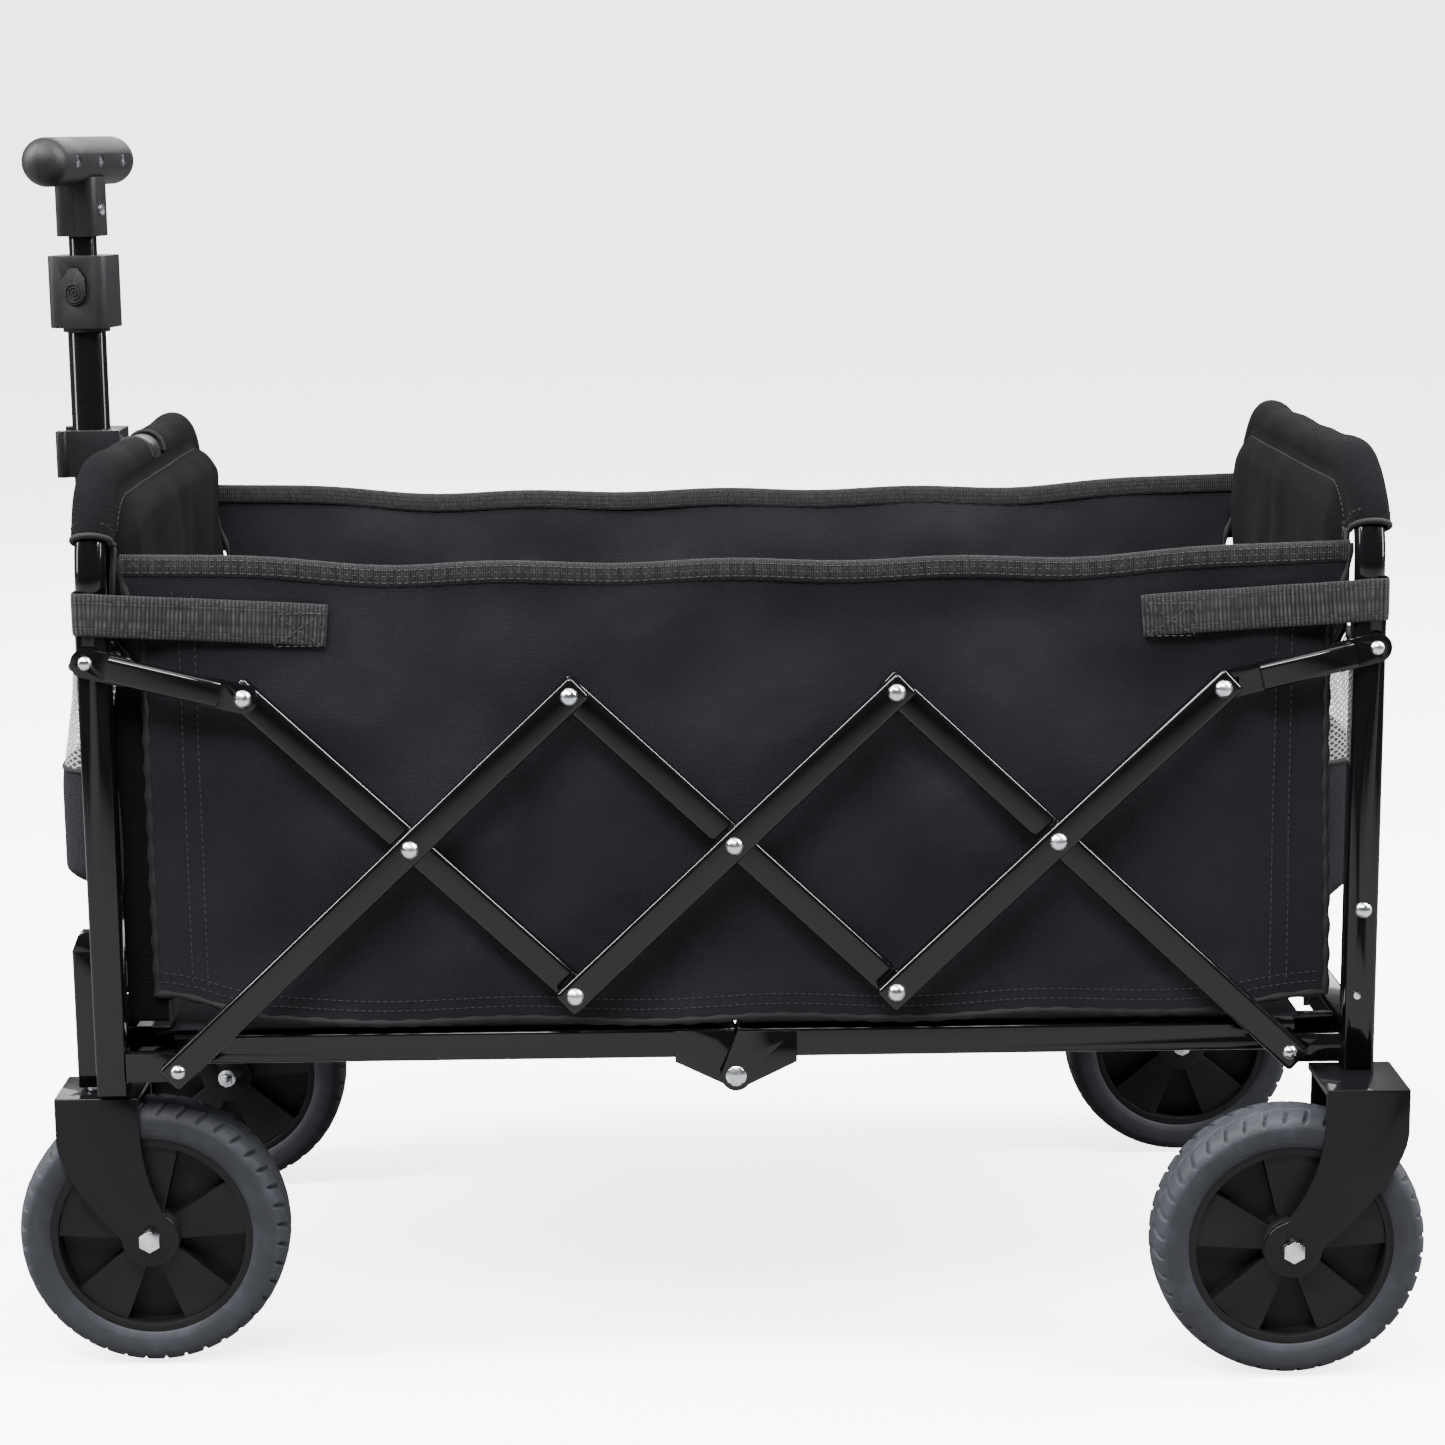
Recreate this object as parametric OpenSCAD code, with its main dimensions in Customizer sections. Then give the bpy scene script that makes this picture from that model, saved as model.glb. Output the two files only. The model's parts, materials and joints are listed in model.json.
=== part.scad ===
// Folding utility wagon with a telescopic pull handle.
// Millimetres, +Z up, wheels on Z = 0, handle at the -X end, sides at +/-Y.
// The side scissors, the hinged bottom rails and the top links fold the rear end up to the front end.

/* [Wheels] */
// wheel diameter
wheel_d = 178; // [150:1:220]
// wheel width
wheel_w = 45; // [30:1:60]
// rim radius where the tyre starts
rim_r = 67; // [50:1:80]
// raised wedge spokes on each face of a hub
spokes = 5; // [4:1:8]
// axle bolt diameter
axle_d = 8; // [6:0.5:12]

/* [Frame] */
// side of the square steel tube
tube = 20; // [16:1:25]
// wall of the steel tube
tube_wall = 1.2; // [0.8:0.1:3]
// distance from the centre plane to the outer face of a leg
leg_y = 213; // [180:1:260]
// diameter of the end hoops
hoop_d = 19.5; // [16:0.5:22]
// height of the hoop's centreline
hoop_z = 588; // [520:1:640]
// bend radius of the hoops
hoop_bend = 60; // [40:1:90]

/* [Side scissors] */
// half of a short bar, between neighbouring pivots
half_bar = 143.2; // [110:0.1:180]
// lower arm of the two long end bars
long_arm = 211.8; // [160:0.1:260]
// angle of the bars above the floor when the wagon is open
bar_angle = 43.41; // [35:0.01:50]
// height of the lowest scissor pivots
foot_pivot_z = 208.7; // [190:0.1:240]
// height of a bar
bar_h = 19; // [14:0.5:25]
// depth of a bar
bar_t = 10; // [6:0.5:14]
// rivet shank diameter
rivet_d = 6; // [4:0.5:8]
// rivet head diameter
rivet_head_d = 12; // [9:0.5:16]

/* [Bottom rails] */
// distance from the centre hinge to a rail's end pivot
rail_reach = 358; // [300:1:420]
// height of the rails' centreline
rail_z = 215.5; // [200:0.5:240]
// drop from the rails' centreline to the centre hinge pin
rail_pin_drop = 21.5; // [15:0.5:30]

/* [Pull handle] */
// diameter of the outer handle tube
handle_d = 26; // [20:1:32]
// diameter of the sliding handle tube
inner_d = 19; // [14:0.5:24]
// height of the handle's pivot
handle_pivot_z = 217; // [200:1:240]
// height of the collar's underside when the handle is upright
collar_z = 676; // [500:1:760]
// height of the grip's centreline when the handle is retracted
grip_z = 788.6; // [700:0.1:900]
// turn of the collar and grip about the tube
grip_turn = -12; // [-30:1:30]
// diameter of the cross grip
grip_d = 33; // [26:1:40]
// length of the cross grip between its ball ends
grip_len = 110; // [80:1:140]

/* [Fabric] */
// height of the bin's top edge
bin_top_z = 540; // [480:1:600]
// thickness of the cloth panels
cloth = 3; // [1:0.5:6]
// width of the webbing straps
strap_w = 28; // [20:1:40]

/* [Hidden] */
wheel_r = wheel_d / 2;
foot_x = (2 * long_arm + 4 * half_bar) * cos(bar_angle) / 2;
front_axle_dx = -387.9;
rear_axle_dx = 358.6;
// the front and rear wheels reach equally far from the origin
mid_x = -(front_axle_dx + rear_axle_dx) / 2;
front_axle_x = mid_x + front_axle_dx;
rear_axle_x = mid_x + rear_axle_dx;
front_wheel_y = 180;
rear_wheel_y = 230;
kingpin_x = mid_x - 419.5;
leg_x = 407.5;
leg_in = leg_y - tube;
rail_y = 186;
front_lug_x = mid_x - rail_reach;
rear_lug_x = mid_x + rail_reach;
rail_pin_z = rail_z - rail_pin_drop;
bar_in_y = leg_y - 10;
bar_out_y = leg_y + 1;
link_ux = 49;
link_uz = 268.1;
link_z = foot_pivot_z + link_uz;
link_len = norm([
    (long_arm - half_bar) * cos(bar_angle) + link_ux,
    (long_arm + half_bar) * sin(bar_angle) - link_uz]);
link_drop = asin((link_uz - (long_arm + half_bar) * sin(bar_angle)) / link_len);
handle_x = mid_x - 440;
clip_z = 590;
collar_h = 49;
side_y = 197.5;
panel_x = 378;
rear_panel_x = 384;
hem_z = 236;
fit = 0.1;
hole_r = rivet_d / 2 + fit;
$fn = 64;

// pivots of the side scissors as [x, z]; the k-th middle pivot is k = -1, 0 or 1
function mid_p(k) = [mid_x + 2 * k * half_bar * cos(bar_angle), foot_pivot_z + long_arm * sin(bar_angle)];
function arm(up, right) = half_bar * [right * cos(bar_angle), up * sin(bar_angle)];
function foot_p(s) = [mid_x + s * foot_x, foot_pivot_z];

// ---------- shared shapes ----------

// the left side of the wagon is -Y
module left() mirror([0, 1, 0]) children();

module both_sides() {
    children();
    left() children();
}

// flat outline in X and Z, given a thickness from y0 to y1
module slab(y0, y1) translate([0, y1, 0]) rotate([90, 0, 0]) linear_extrude(y1 - y0) children();

// round bar along Y
module rod(p, r, y0, y1) translate([p[0], y1, p[1]]) rotate([90, 0, 0]) cylinder(r = r, h = y1 - y0);

// rectangle with round corners
module soft_rect(w, h, r) {
    square([w - 2 * r, h], center = true);
    square([w, h - 2 * r], center = true);
    for (x = [-1, 1], y = [-1, 1])
        translate([x * (w / 2 - r), y * (h / 2 - r)]) circle(r, $fn = 32);
}

// hollow square tube standing on Z
module post(w, h, wall = tube_wall) linear_extrude(h) difference() {
    soft_rect(w, w, 2.5);
    soft_rect(w - 2 * wall, w - 2 * wall, 1.5);
}

// flat strap with round ends between two points in X and Z
module strip(p, q, r) {
    d = q - p;
    translate(p) rotate(atan2(d[1], d[0])) {
        translate([0, -r]) square([norm(d), 2 * r]);
        circle(r);
        translate([norm(d), 0]) circle(r);
    }
}

// flat bar outline whose nearly square ends reach half its height past both points
module bar_outline(p, q, h) {
    d = q - p;
    translate((p + q) / 2) rotate(atan2(d[1], d[0])) soft_rect(norm(d) + h, h, 4);
}

// domed stud: head outboard, plain shank inboard down to y_end
module stud(p, y_head, y_end, head_d = rivet_head_d) {
    head_h = head_d * 0.36;
    ball = (pow(head_d / 2, 2) + head_h * head_h) / (2 * head_h);
    rod(p, rivet_d / 2, y_end, y_head + 0.5);
    intersection() {
        translate([p[0], y_head + head_h - ball, p[1]]) sphere(ball);
        rod(p, head_d, y_head + 0.05, y_head + head_h + 1);
    }
}

// domed rivet: a stud with a small formed tail
module rivet(p, y_head, y_tail, head_d = rivet_head_d) {
    stud(p, y_head, y_tail - 1.6, head_d);
    rod(p, rivet_d / 2 + 1.6, y_tail - 1.6, y_tail - 0.05);
}

// inverted U of round tube with swaged ends that plug into the legs
module hoop(x) {
    y = leg_y - tube / 2;
    module half(r, z0) {
        translate([x, y, z0]) cylinder(r = r, h = hoop_z - hoop_bend - z0);
        translate([x, y - hoop_bend, hoop_z - hoop_bend]) rotate([90, 0, 90])
            rotate_extrude(angle = 90) translate([hoop_bend, 0]) circle(r);
        rod([x, hoop_z], r, -0.01, y - hoop_bend);
    }
    both_sides() difference() {
        union() {
            half(hoop_d / 2, 516);
            translate([x, y, 492]) cylinder(r = tube / 2 - 1.7, h = 25);
        }
        half(hoop_d / 2 - 1.3, 520);
        translate([x, y, 491]) cylinder(r = tube / 2 - 3, h = 30);
    }
}

// square leg with rivet holes through it along Y
module leg(x, z0, holes) difference() {
    translate([x, leg_y - tube / 2, z0]) post(tube, 515 - z0);
    for (h = holes) rod(h, hole_r, leg_in - 1, leg_y + 1);
}

// sheet eye that reaches from a frame to a pivot
module eye(p, x_root, y0, y1, r) slab(y0, y1) difference() {
    strip([x_root, p[1]], p, r);
    translate([p[0] < x_root ? x_root : x_root - 2 * r, p[1] - r]) square(2 * r);
    translate(p) circle(hole_r);
}

// ---------- front frame ----------

function front_link_p() = [mid_x - foot_x - link_ux, link_z];
function rear_link_p() = [mid_x + foot_x + link_ux, link_z];

module front_leg() {
    leg(mid_x - leg_x, 190, [front_link_p()]);
    eye(foot_p(-1), mid_x - leg_x + tube / 2, leg_y - 8, leg_y, 9.5);
}

module front_leg_right() color("#141416") front_leg();

module front_leg_left() color("#141416") left() front_leg();

module front_hoop() color("#141416") hoop(mid_x - leg_x);

module front_crossbar() color("#141416") {
    translate([mid_x - leg_x, 167, rail_z]) rotate([90, 0, 0]) post(tube, 334);
    both_sides() eye([front_lug_x, rail_z], kingpin_x + 13.5, 170.5, 175.5, 9.5);
}

module caster_housings() color("#141416") both_sides() difference() {
    union() {
        translate([kingpin_x, 180, 190]) linear_extrude(92) soft_rect(27, 26, 2);
        translate([kingpin_x, 180, 282]) linear_extrude(10, scale = 0.72) square([27, 26], center = true);
    }
    translate([kingpin_x, 180, 189]) cylinder(r = 5.1, h = 30);
    translate([kingpin_x, 180, 196]) linear_extrude(84) soft_rect(22, 21, 1.5);
    translate([kingpin_x - 14, 172, 268]) cube([2, 4, 7]);
}

// caster pin with its head under the fork, a bearing washer and a nut inside the housing
module kingpin() translate([kingpin_x, 180, 0]) {
    translate([0, 0, 177]) cylinder(r = 8, h = 3.7);
    translate([0, 0, 180]) cylinder(r = 5, h = 30);
    difference() {
        translate([0, 0, 186.4]) cylinder(r = 11, h = 3.5);
        translate([0, 0, 186]) cylinder(r = 4.9, h = 5);
    }
    translate([0, 0, 198.2]) cylinder(r = 8.2, h = 6, $fn = 6);
}

// pin of a rail's end pivot, with its flat head on the inside
module lug_pin(x) {
    rod([x, rail_z], rivet_d / 2, 168, rail_y + tube / 2 + 0.9);
    rod([x, rail_z], 5, 168, 170.45);
    rod([x, rail_z], 4.6, rail_y + tube / 2 + 0.05, rail_y + tube / 2 + 0.9);
}

module handle_bracket() color("#141416") {
    front = mid_x - leg_x - tube / 2;
    translate([front - 4, -22, handle_pivot_z - 13]) cube([4, 44, 24]);
    both_sides() slab(15.5, 19) difference() {
        union() {
            translate([handle_x, handle_pivot_z]) circle(11);
            translate([handle_x, handle_pivot_z - 11]) square([front - handle_x, 22]);
        }
        translate([handle_x, handle_pivot_z]) circle(4 + fit);
    }
    rod([handle_x, handle_pivot_z], 4, -21, 21);
    both_sides() rod([handle_x, handle_pivot_z], 6.5, 21, 23);
}

module handle_clip() color("#1a1a1c") {
    hook_x = mid_x - leg_x;
    translate([0, 0, clip_z - 16]) linear_extrude(32) difference() {
        union() {
            translate([hook_x - 31, 0]) soft_rect(44, 38, 4);
            for (s = [-1, 1]) translate([hook_x - 50, s * 18.5]) circle(4);
        }
        translate([handle_x, 0]) circle(handle_d / 2 + 0.4);
        translate([handle_x - 40, -handle_d / 2 - 0.4]) square([40, handle_d + 0.8]);
        translate([hook_x - 9.8, -25]) square([12, 50]);
    }
    slab(-12, 12) difference() {
        translate([hook_x, hoop_z]) circle(hoop_d / 2 + 3);
        translate([hook_x, hoop_z]) circle(hoop_d / 2 + 0.02);
        translate([hook_x - 30, hoop_z - 30]) square([20.2, 60]);
        translate([hook_x - 2, hoop_z - 20]) square([30, 18]);
    }
}

module front_fasteners() color("#c9cbd0") both_sides() {
    kingpin();
    rivet(front_link_p(), leg_y + 4.2, leg_y - 6, 9.5);
    rivet(foot_p(-1), bar_out_y + bar_t, leg_y - 8, 10);
    lug_pin(front_lug_x);
}

// ---------- rear frame ----------

module rear_leg() {
    leg(mid_x + leg_x, 196, [rear_link_p(), [mid_x + leg_x, 304]]);
    eye(foot_p(1), mid_x + leg_x - tube / 2, 198.1, 202.7, 9.5);
}

module rear_leg_right() color("#141416") rear_leg();

module rear_leg_left() color("#141416") left() rear_leg();

module rear_hoop() color("#141416") hoop(mid_x + leg_x);

module rear_crossbar() color("#141416") {
    x = mid_x + leg_x;
    translate([x, leg_in, rail_z]) rotate([90, 0, 0]) post(tube, 2 * leg_in);
    both_sides() eye([rear_lug_x, rail_z], x - tube / 2, 170.5, 175.5, 9.5);
}

module rear_rivets() color("#c9cbd0") both_sides() {
    x = mid_x + leg_x;
    rivet(rear_link_p(), leg_y + 4.2, leg_y - 6, 9.5);
    rivet(foot_p(1), bar_in_y + bar_t, 198.1, 10);
    lug_pin(rear_lug_x);
    rivet([x, 304], leg_y, leg_y - tube_wall, 11.5);
    rod([x - 3, 247], 2.2, leg_y + 0.02, leg_y + 2.5);
}

// cheek outline of a fork: from the crown it bends across to the axle
module cheek(crown_x, half_w, z_top, axle_x) {
    lean = sign(axle_x - crown_x);
    polygon([
        [crown_x - lean * half_w, z_top],
        [crown_x - lean * half_w, z_top - 30],
        for (t = [0:0.1:1])
            [crown_x - lean * half_w + (axle_x - crown_x + lean * (half_w - 19)) * pow(t, 1.6),
                z_top - 30 - (z_top - 30 - wheel_r) * t],
        [axle_x + lean * 19, wheel_r],
        for (t = [1:-0.1:0])
            [crown_x + lean * half_w + (axle_x - crown_x + lean * (19 - half_w)) * t * t,
                z_top - 22 - (z_top - 22 - wheel_r) * t],
        [crown_x + lean * half_w, z_top]]);
    translate([axle_x, wheel_r]) circle(19);
}

module fork(crown_x, wheel_y, half_w, z_top, axle_x, y0, y1) {
    for (y = [y0, y1 - 3]) slab(y, y + 3) difference() {
        cheek(crown_x, half_w, z_top, axle_x);
        translate([axle_x, wheel_r]) circle(axle_d / 2 + fit);
    }
    translate([crown_x - half_w, y0, z_top - 4.6]) cube([2 * half_w, y1 - y0, 4.6]);
}

module rear_forks() color("#141416") both_sides() {
    x = mid_x + 405;
    fork(x, rear_wheel_y, 27, 196, rear_axle_x, 203.4, 256.6);
    translate([x - 27, leg_in, 191.4]) cube([54, 11, 4.6]);
}

// axle bolt with hexagon head outboard, washer and nut inboard
module axle(x, y0, y1) {
    p = [x, wheel_r];
    rod(p, axle_d / 2, y0 - 9, y1 + 1);
    translate([x, y1 + 5.4, wheel_r]) rotate([90, 30, 0]) cylinder(r = 7.5, h = 5.3, $fn = 6);
    rod(p, 6.6, y0 - 1.7, y0 - 0.1);
    translate([x, y0 - 1.8, wheel_r]) rotate([90, 30, 0]) cylinder(r = 5.4, h = 5.4, $fn = 6);
}

module rear_axles() color("#c9cbd0") both_sides() axle(rear_axle_x, 203.4, 256.6);

// ---------- casters and wheels ----------

module caster_fork() difference() {
    fork(kingpin_x, front_wheel_y, 27.5, 186, front_axle_x, 153.9, 206.1);
    translate([kingpin_x, 180, 170]) cylinder(r = 5 + fit, h = 30);
}

module caster_fork_right() color("#141416") caster_fork();

module caster_fork_left() color("#141416") left() caster_fork();

module front_axle_right() color("#c9cbd0") axle(front_axle_x, 153.9, 206.1);

module front_axle_left() color("#c9cbd0") left() axle(front_axle_x, 153.9, 206.1);

module hub(x, y) translate([x, y, wheel_r]) rotate([90, 0, 0]) difference() {
    union() {
        difference() {
            cylinder(r = rim_r, h = wheel_w - 6, center = true, $fn = 96);
            cylinder(r = rim_r - 5, h = wheel_w, center = true, $fn = 96);
        }
        cylinder(r = rim_r - 4.9, h = 8, center = true, $fn = 96);
        cylinder(r = 19, h = wheel_w + 0.6, center = true);
        for (k = [0:spokes - 1]) rotate(k * 360 / spokes)
            linear_extrude(wheel_w - 12, center = true)
                polygon([[-7, 12], [7, 12], [19, rim_r - 7.5], [0, rim_r - 4.6], [-19, rim_r - 7.5]]);
    }
    cylinder(r = axle_d / 2 + fit, h = 100, center = true);
}

module tyre(x, y) translate([x, y, wheel_r]) rotate([90, 0, 0]) rotate_extrude($fn = 96) {
    w = wheel_w / 2;
    polygon([
        [rim_r + 0.02, -w + 3], [rim_r + 4, -w], [wheel_r - 6, -w], [wheel_r - 1.5, -w + 5],
        [wheel_r, -w + 11], [wheel_r, w - 11], [wheel_r - 1.5, w - 5], [wheel_r - 6, w],
        [rim_r + 4, w], [rim_r + 0.02, w - 3]]);
}

module wheel_hub_front_right() color("#232325") hub(front_axle_x, front_wheel_y);

module wheel_hub_front_left() color("#232325") left() hub(front_axle_x, front_wheel_y);

module wheel_hub_rear_right() color("#232325") hub(rear_axle_x, rear_wheel_y);

module wheel_hub_rear_left() color("#232325") left() hub(rear_axle_x, rear_wheel_y);

module tyre_front_right() color("#1f1f21") tyre(front_axle_x, front_wheel_y);

module tyre_front_left() color("#1f1f21") left() tyre(front_axle_x, front_wheel_y);

module tyre_rear_right() color("#1f1f21") tyre(rear_axle_x, rear_wheel_y);

module tyre_rear_left() color("#1f1f21") left() tyre(rear_axle_x, rear_wheel_y);

// ---------- bottom rails and floor ----------

// one rail with its hinge plates; side is -1 for the front rail and 1 for the rear rail
module rail(side, gap) {
    lug = mid_x + side * rail_reach;
    x0 = min(lug + side * 10, mid_x + side);
    len = rail_reach + 9;
    difference() {
        translate([x0, rail_y, rail_z]) rotate([90, 0, 90]) post(tube, len);
        rod([lug, rail_z], hole_r, rail_y - 15, rail_y + 15);
    }
    for (y = [rail_y - tube / 2 - gap - 2, rail_y + tube / 2 + gap]) slab(y, y + 2) difference() {
        union() {
            polygon([
                [mid_x + side * 40, rail_z + 9], [mid_x + side, rail_z + 9],
                [mid_x - side * 9, rail_pin_z + 4], [mid_x - side * 4, rail_pin_z - 8],
                [mid_x + side * 8, rail_pin_z - 6], [mid_x + side * 40, rail_z - 12]]);
            translate([mid_x, rail_pin_z]) circle(10);
        }
        translate([mid_x, rail_pin_z]) circle(4 + fit);
    }
    if (gap > 1)
        for (y = [rail_y - tube / 2 - gap, rail_y + tube / 2])
            translate([mid_x + min(side * 14, side * 40), y, rail_z - 9]) cube([26, gap, 17]);
}

module front_rails() color("#141416") {
    both_sides() rail(-1, 0);
    translate([mid_x - 120, rail_y - 10, rail_z]) rotate([90, 0, 0]) post(16, 2 * rail_y - 20);
}

module rear_rails() color("#141416") {
    both_sides() rail(1, 2.5);
    translate([mid_x + 120, rail_y - 10, rail_z]) rotate([90, 0, 0]) post(16, 2 * rail_y - 20);
}

module rail_pins() color("#c9cbd0") both_sides() {
    p = [mid_x, rail_pin_z];
    rod(p, 4, rail_y - 15.5, rail_y + 15.5);
    // low dome, so that the scissor bars pass outside it
    intersection() {
        translate([mid_x, rail_y + 3.35, rail_pin_z]) sphere(13.25);
        rod(p, 9, rail_y + 14.6, rail_y + 25);
    }
    rod(p, 6, rail_y - 17, rail_y - 14.6);
}

// one half of the floor; its outer end is notched round the eyes of the crossbar
module floor_half(side) translate([mid_x, 0, rail_z + tube / 2 + 0.5]) difference() {
    translate([side > 0 ? 2 : -372, -195, 0]) cube([370, 390, 5]);
    for (y = [-178, 168]) translate([side > 0 ? 349 : -373, y, -1]) cube([24, 10, 7]);
}

module floor_front() color("#17171a") floor_half(-1);

module floor_rear() color("#17171a") floor_half(1);

// ---------- scissors and links ----------

// bars "a" lean towards the rear, bars "b" towards the front; k counts the middle pivots
module bars(k, lean) {
    m = mid_p(k);
    lo = (k == -1 && lean == 1) || (k == 1 && lean == -1)
        ? foot_p(k) : m + arm(-1, -lean);
    hi = m + arm(1, lean);
    y0 = lean == 1 ? bar_out_y : bar_in_y;
    color("#141416") both_sides() difference() {
        slab(y0, y0 + bar_t) difference() {
            bar_outline(lo, hi, bar_h);
            for (h = [lo, hi, m]) translate(h) circle(hole_r);
        }
        // the tube is empty between its pivots
        for (run = [[lo, m], [m, hi]])
            translate([run[0][0], y0 + 1.2, run[0][1]])
                rotate([0, -atan2(run[1][1] - run[0][1], run[1][0] - run[0][0]), 0])
                    translate([12, 0, 1.2 - bar_h / 2])
                        cube([norm(run[1] - run[0]) - 24, bar_t - 2.4, bar_h - 2.4]);
    }
}

module bars_a1() bars(-1, 1);

module bars_b1() bars(-1, -1);

module bars_a2() bars(0, 1);

module bars_b2() bars(0, -1);

module bars_a3() bars(1, 1);

module bars_b3() bars(1, -1);

// rivets at the middle and top of an "a" bar, and at its foot where the next "b" bar joins
module bar_rivets(k, foot) color("#c9cbd0") both_sides() {
    m = mid_p(k);
    rivet(m, bar_out_y + bar_t, bar_in_y);
    rivet(m + arm(1, 1), bar_out_y + bar_t, k == 1 ? leg_y - 3.8 : bar_in_y);
    if (foot) rivet(m + arm(-1, -1), bar_out_y + bar_t, bar_in_y);
}

module rivets_a1() bar_rivets(-1, false);

// stud in the front link's eye; it ends just clear of the bar behind the link
module rivets_b1() color("#c9cbd0") both_sides()
    stud(mid_p(-1) + arm(1, -1), leg_y + 4.2, bar_in_y + bar_t + 0.1);

module rivets_a2() bar_rivets(0, true);

module rivets_a3() bar_rivets(1, true);

// link of flat-sided tube with flattened ends; p is the end on the leg, in the plane at yp
module link(p, q, yp, yq, y_tube, q_gap) difference() {
    d = q - p;
    len = norm(d);
    union() {
        slab(yp, yp + 3.6) strip(p, p + d * 24 / len, 9.5);
        slab(yq, yq + 3.6) strip(q - d * (q_gap + 9) / len, q, 9.5);
        translate([p[0], y_tube + 4.7, p[1]]) rotate([0, -atan2(d[1], d[0]), 0])
            translate([15, 0, 0]) rotate([0, 90, 0]) linear_extrude(len - 15 - q_gap)
                soft_rect(17, 9.4, 3.5);
    }
    rod(p, hole_r, yp - 5, yp + 15);
    rod(q, hole_r, yq - 15, yq + 15);
}

module front_links() color("#141416") both_sides()
    link(front_link_p(), mid_p(-1) + arm(1, -1), leg_y + 0.3, leg_y + 0.3, leg_y + 0.3, 15);

module rear_links() color("#141416") both_sides()
    link(rear_link_p(), mid_p(1) + arm(1, 1), leg_y + 0.3, leg_y - 3.4, leg_y + 0.1, 26);

// ---------- pull handle ----------

module at_grip() translate([handle_x, 0, 0]) rotate(grip_turn) children();

module handle_lug() color("#1a1a1c") difference() {
    union() {
        rod([handle_x, handle_pivot_z], 12, -15, 15);
        translate([handle_x, 0, handle_pivot_z + 4]) cylinder(r = handle_d / 2 - 1.22, h = 46);
    }
    rod([handle_x, handle_pivot_z], 4 + fit, -20, 20);
}

module tube_on_z(d, wall, z0, z1) translate([handle_x, 0, z0]) difference() {
    cylinder(r = d / 2, h = z1 - z0);
    translate([0, 0, -1]) cylinder(r = d / 2 - wall, h = z1 - z0 + 2);
}

module handle_outer_tube() color("#141416") tube_on_z(handle_d, 1.2, handle_pivot_z + 13, collar_z + 24);

module handle_inner_tube() color("#141416") difference() {
    tube_on_z(inner_d, 1.2, 300, grip_z - 14);
    at_grip() translate([0, 0, grip_z - 33]) rotate([0, 90, 0]) cylinder(r = 2.3, h = 30, center = true);
}

module handle_collar() color("#1d1d1f") difference() {
    at_grip() translate([0, 0, collar_z]) {
        linear_extrude(collar_h) soft_rect(42, 36, 7);
        translate([0, 0, -3]) cylinder(r = handle_d / 2 + 3, h = 4);
    }
    translate([handle_x, 0, collar_z - 4]) cylinder(r = handle_d / 2 + 0.02, h = 28);
    translate([handle_x, 0, collar_z]) cylinder(r = inner_d / 2 + fit, h = 60);
    at_grip() slab(-19, -13.6) button_outline(0.4);
}

// house-shaped outline of the release button
module button_outline(grow) translate([0, collar_z + 24]) {
    circle(8 + grow);
    translate([-8 - grow, 0]) square([16 + 2 * grow, 10]);
    polygon([[-8 - grow, 9.9], [8 + grow, 9.9], [3 + grow, 17 + grow], [-3 - grow, 17 + grow]]);
}

module release_button() color("#1d1d1f") at_grip() {
    slab(-19.5, -16) button_outline(0);
    for (r = [2.2, 4.4, 6.6]) translate([0, -19.4, collar_z + 24]) rotate([90, 0, 0]) difference() {
        cylinder(r = r, h = 0.7);
        translate([0, 0, -1]) cylinder(r = r - 0.8, h = 3);
    }
}

module grip_body() difference() {
    at_grip() union() {
        translate([0, 0, grip_z]) rotate([90, 0, 0]) rotate([0, 0, 45]) rotate_extrude() intersection() {
            strip([0, -grip_len / 2], [0, grip_len / 2], grip_d / 2);
            translate([0, -grip_len]) square([grip_d, 2 * grip_len]);
        }
        translate([0, 0, grip_z - 50.6]) linear_extrude(40) soft_rect(30, 27, 6);
    }
    translate([handle_x, 0, grip_z - 60]) cylinder(r = inner_d / 2 + 0.02, h = 47);
    at_grip() grip_screw_spots() translate([-20, 0, 0]) rotate([0, 90, 0]) cylinder(r = 2.3, h = 60);
    at_grip() grip_screw_spots() translate([12.6, 0, 0]) rotate([0, 90, 0]) cylinder(r = 4.5, h = 30);
}

module grip_screw_spots() {
    for (y = [-40, 0, 40]) translate([0, y, grip_z]) children();
    translate([0, 0, grip_z - 33]) children();
}

module half_space(s) at_grip() translate([s > 0 ? 0.1 : -60, -100, grip_z - 80]) cube([59.9, 200, 120]);

module grip_shell_front() color("#1d1d1f") intersection() {
    grip_body();
    half_space(-1);
}

module grip_shell_back() color("#1d1d1f") intersection() {
    grip_body();
    half_space(1);
}

module grip_screws() color("#c9cbd0") at_grip() grip_screw_spots() {
    rotate([0, 90, 0]) translate([0, 0, -8]) cylinder(r = 2.2, h = 21);
    difference() {
        translate([12.7, 0, 0]) rotate([0, 90, 0]) cylinder(r = 4.2, h = 3.1);
        for (a = [0, 90]) translate([15.5, 0, 0]) rotate([a, 0, 0]) cube([1.4, 5, 1], center = true);
    }
}

// ---------- fabric ----------

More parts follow.
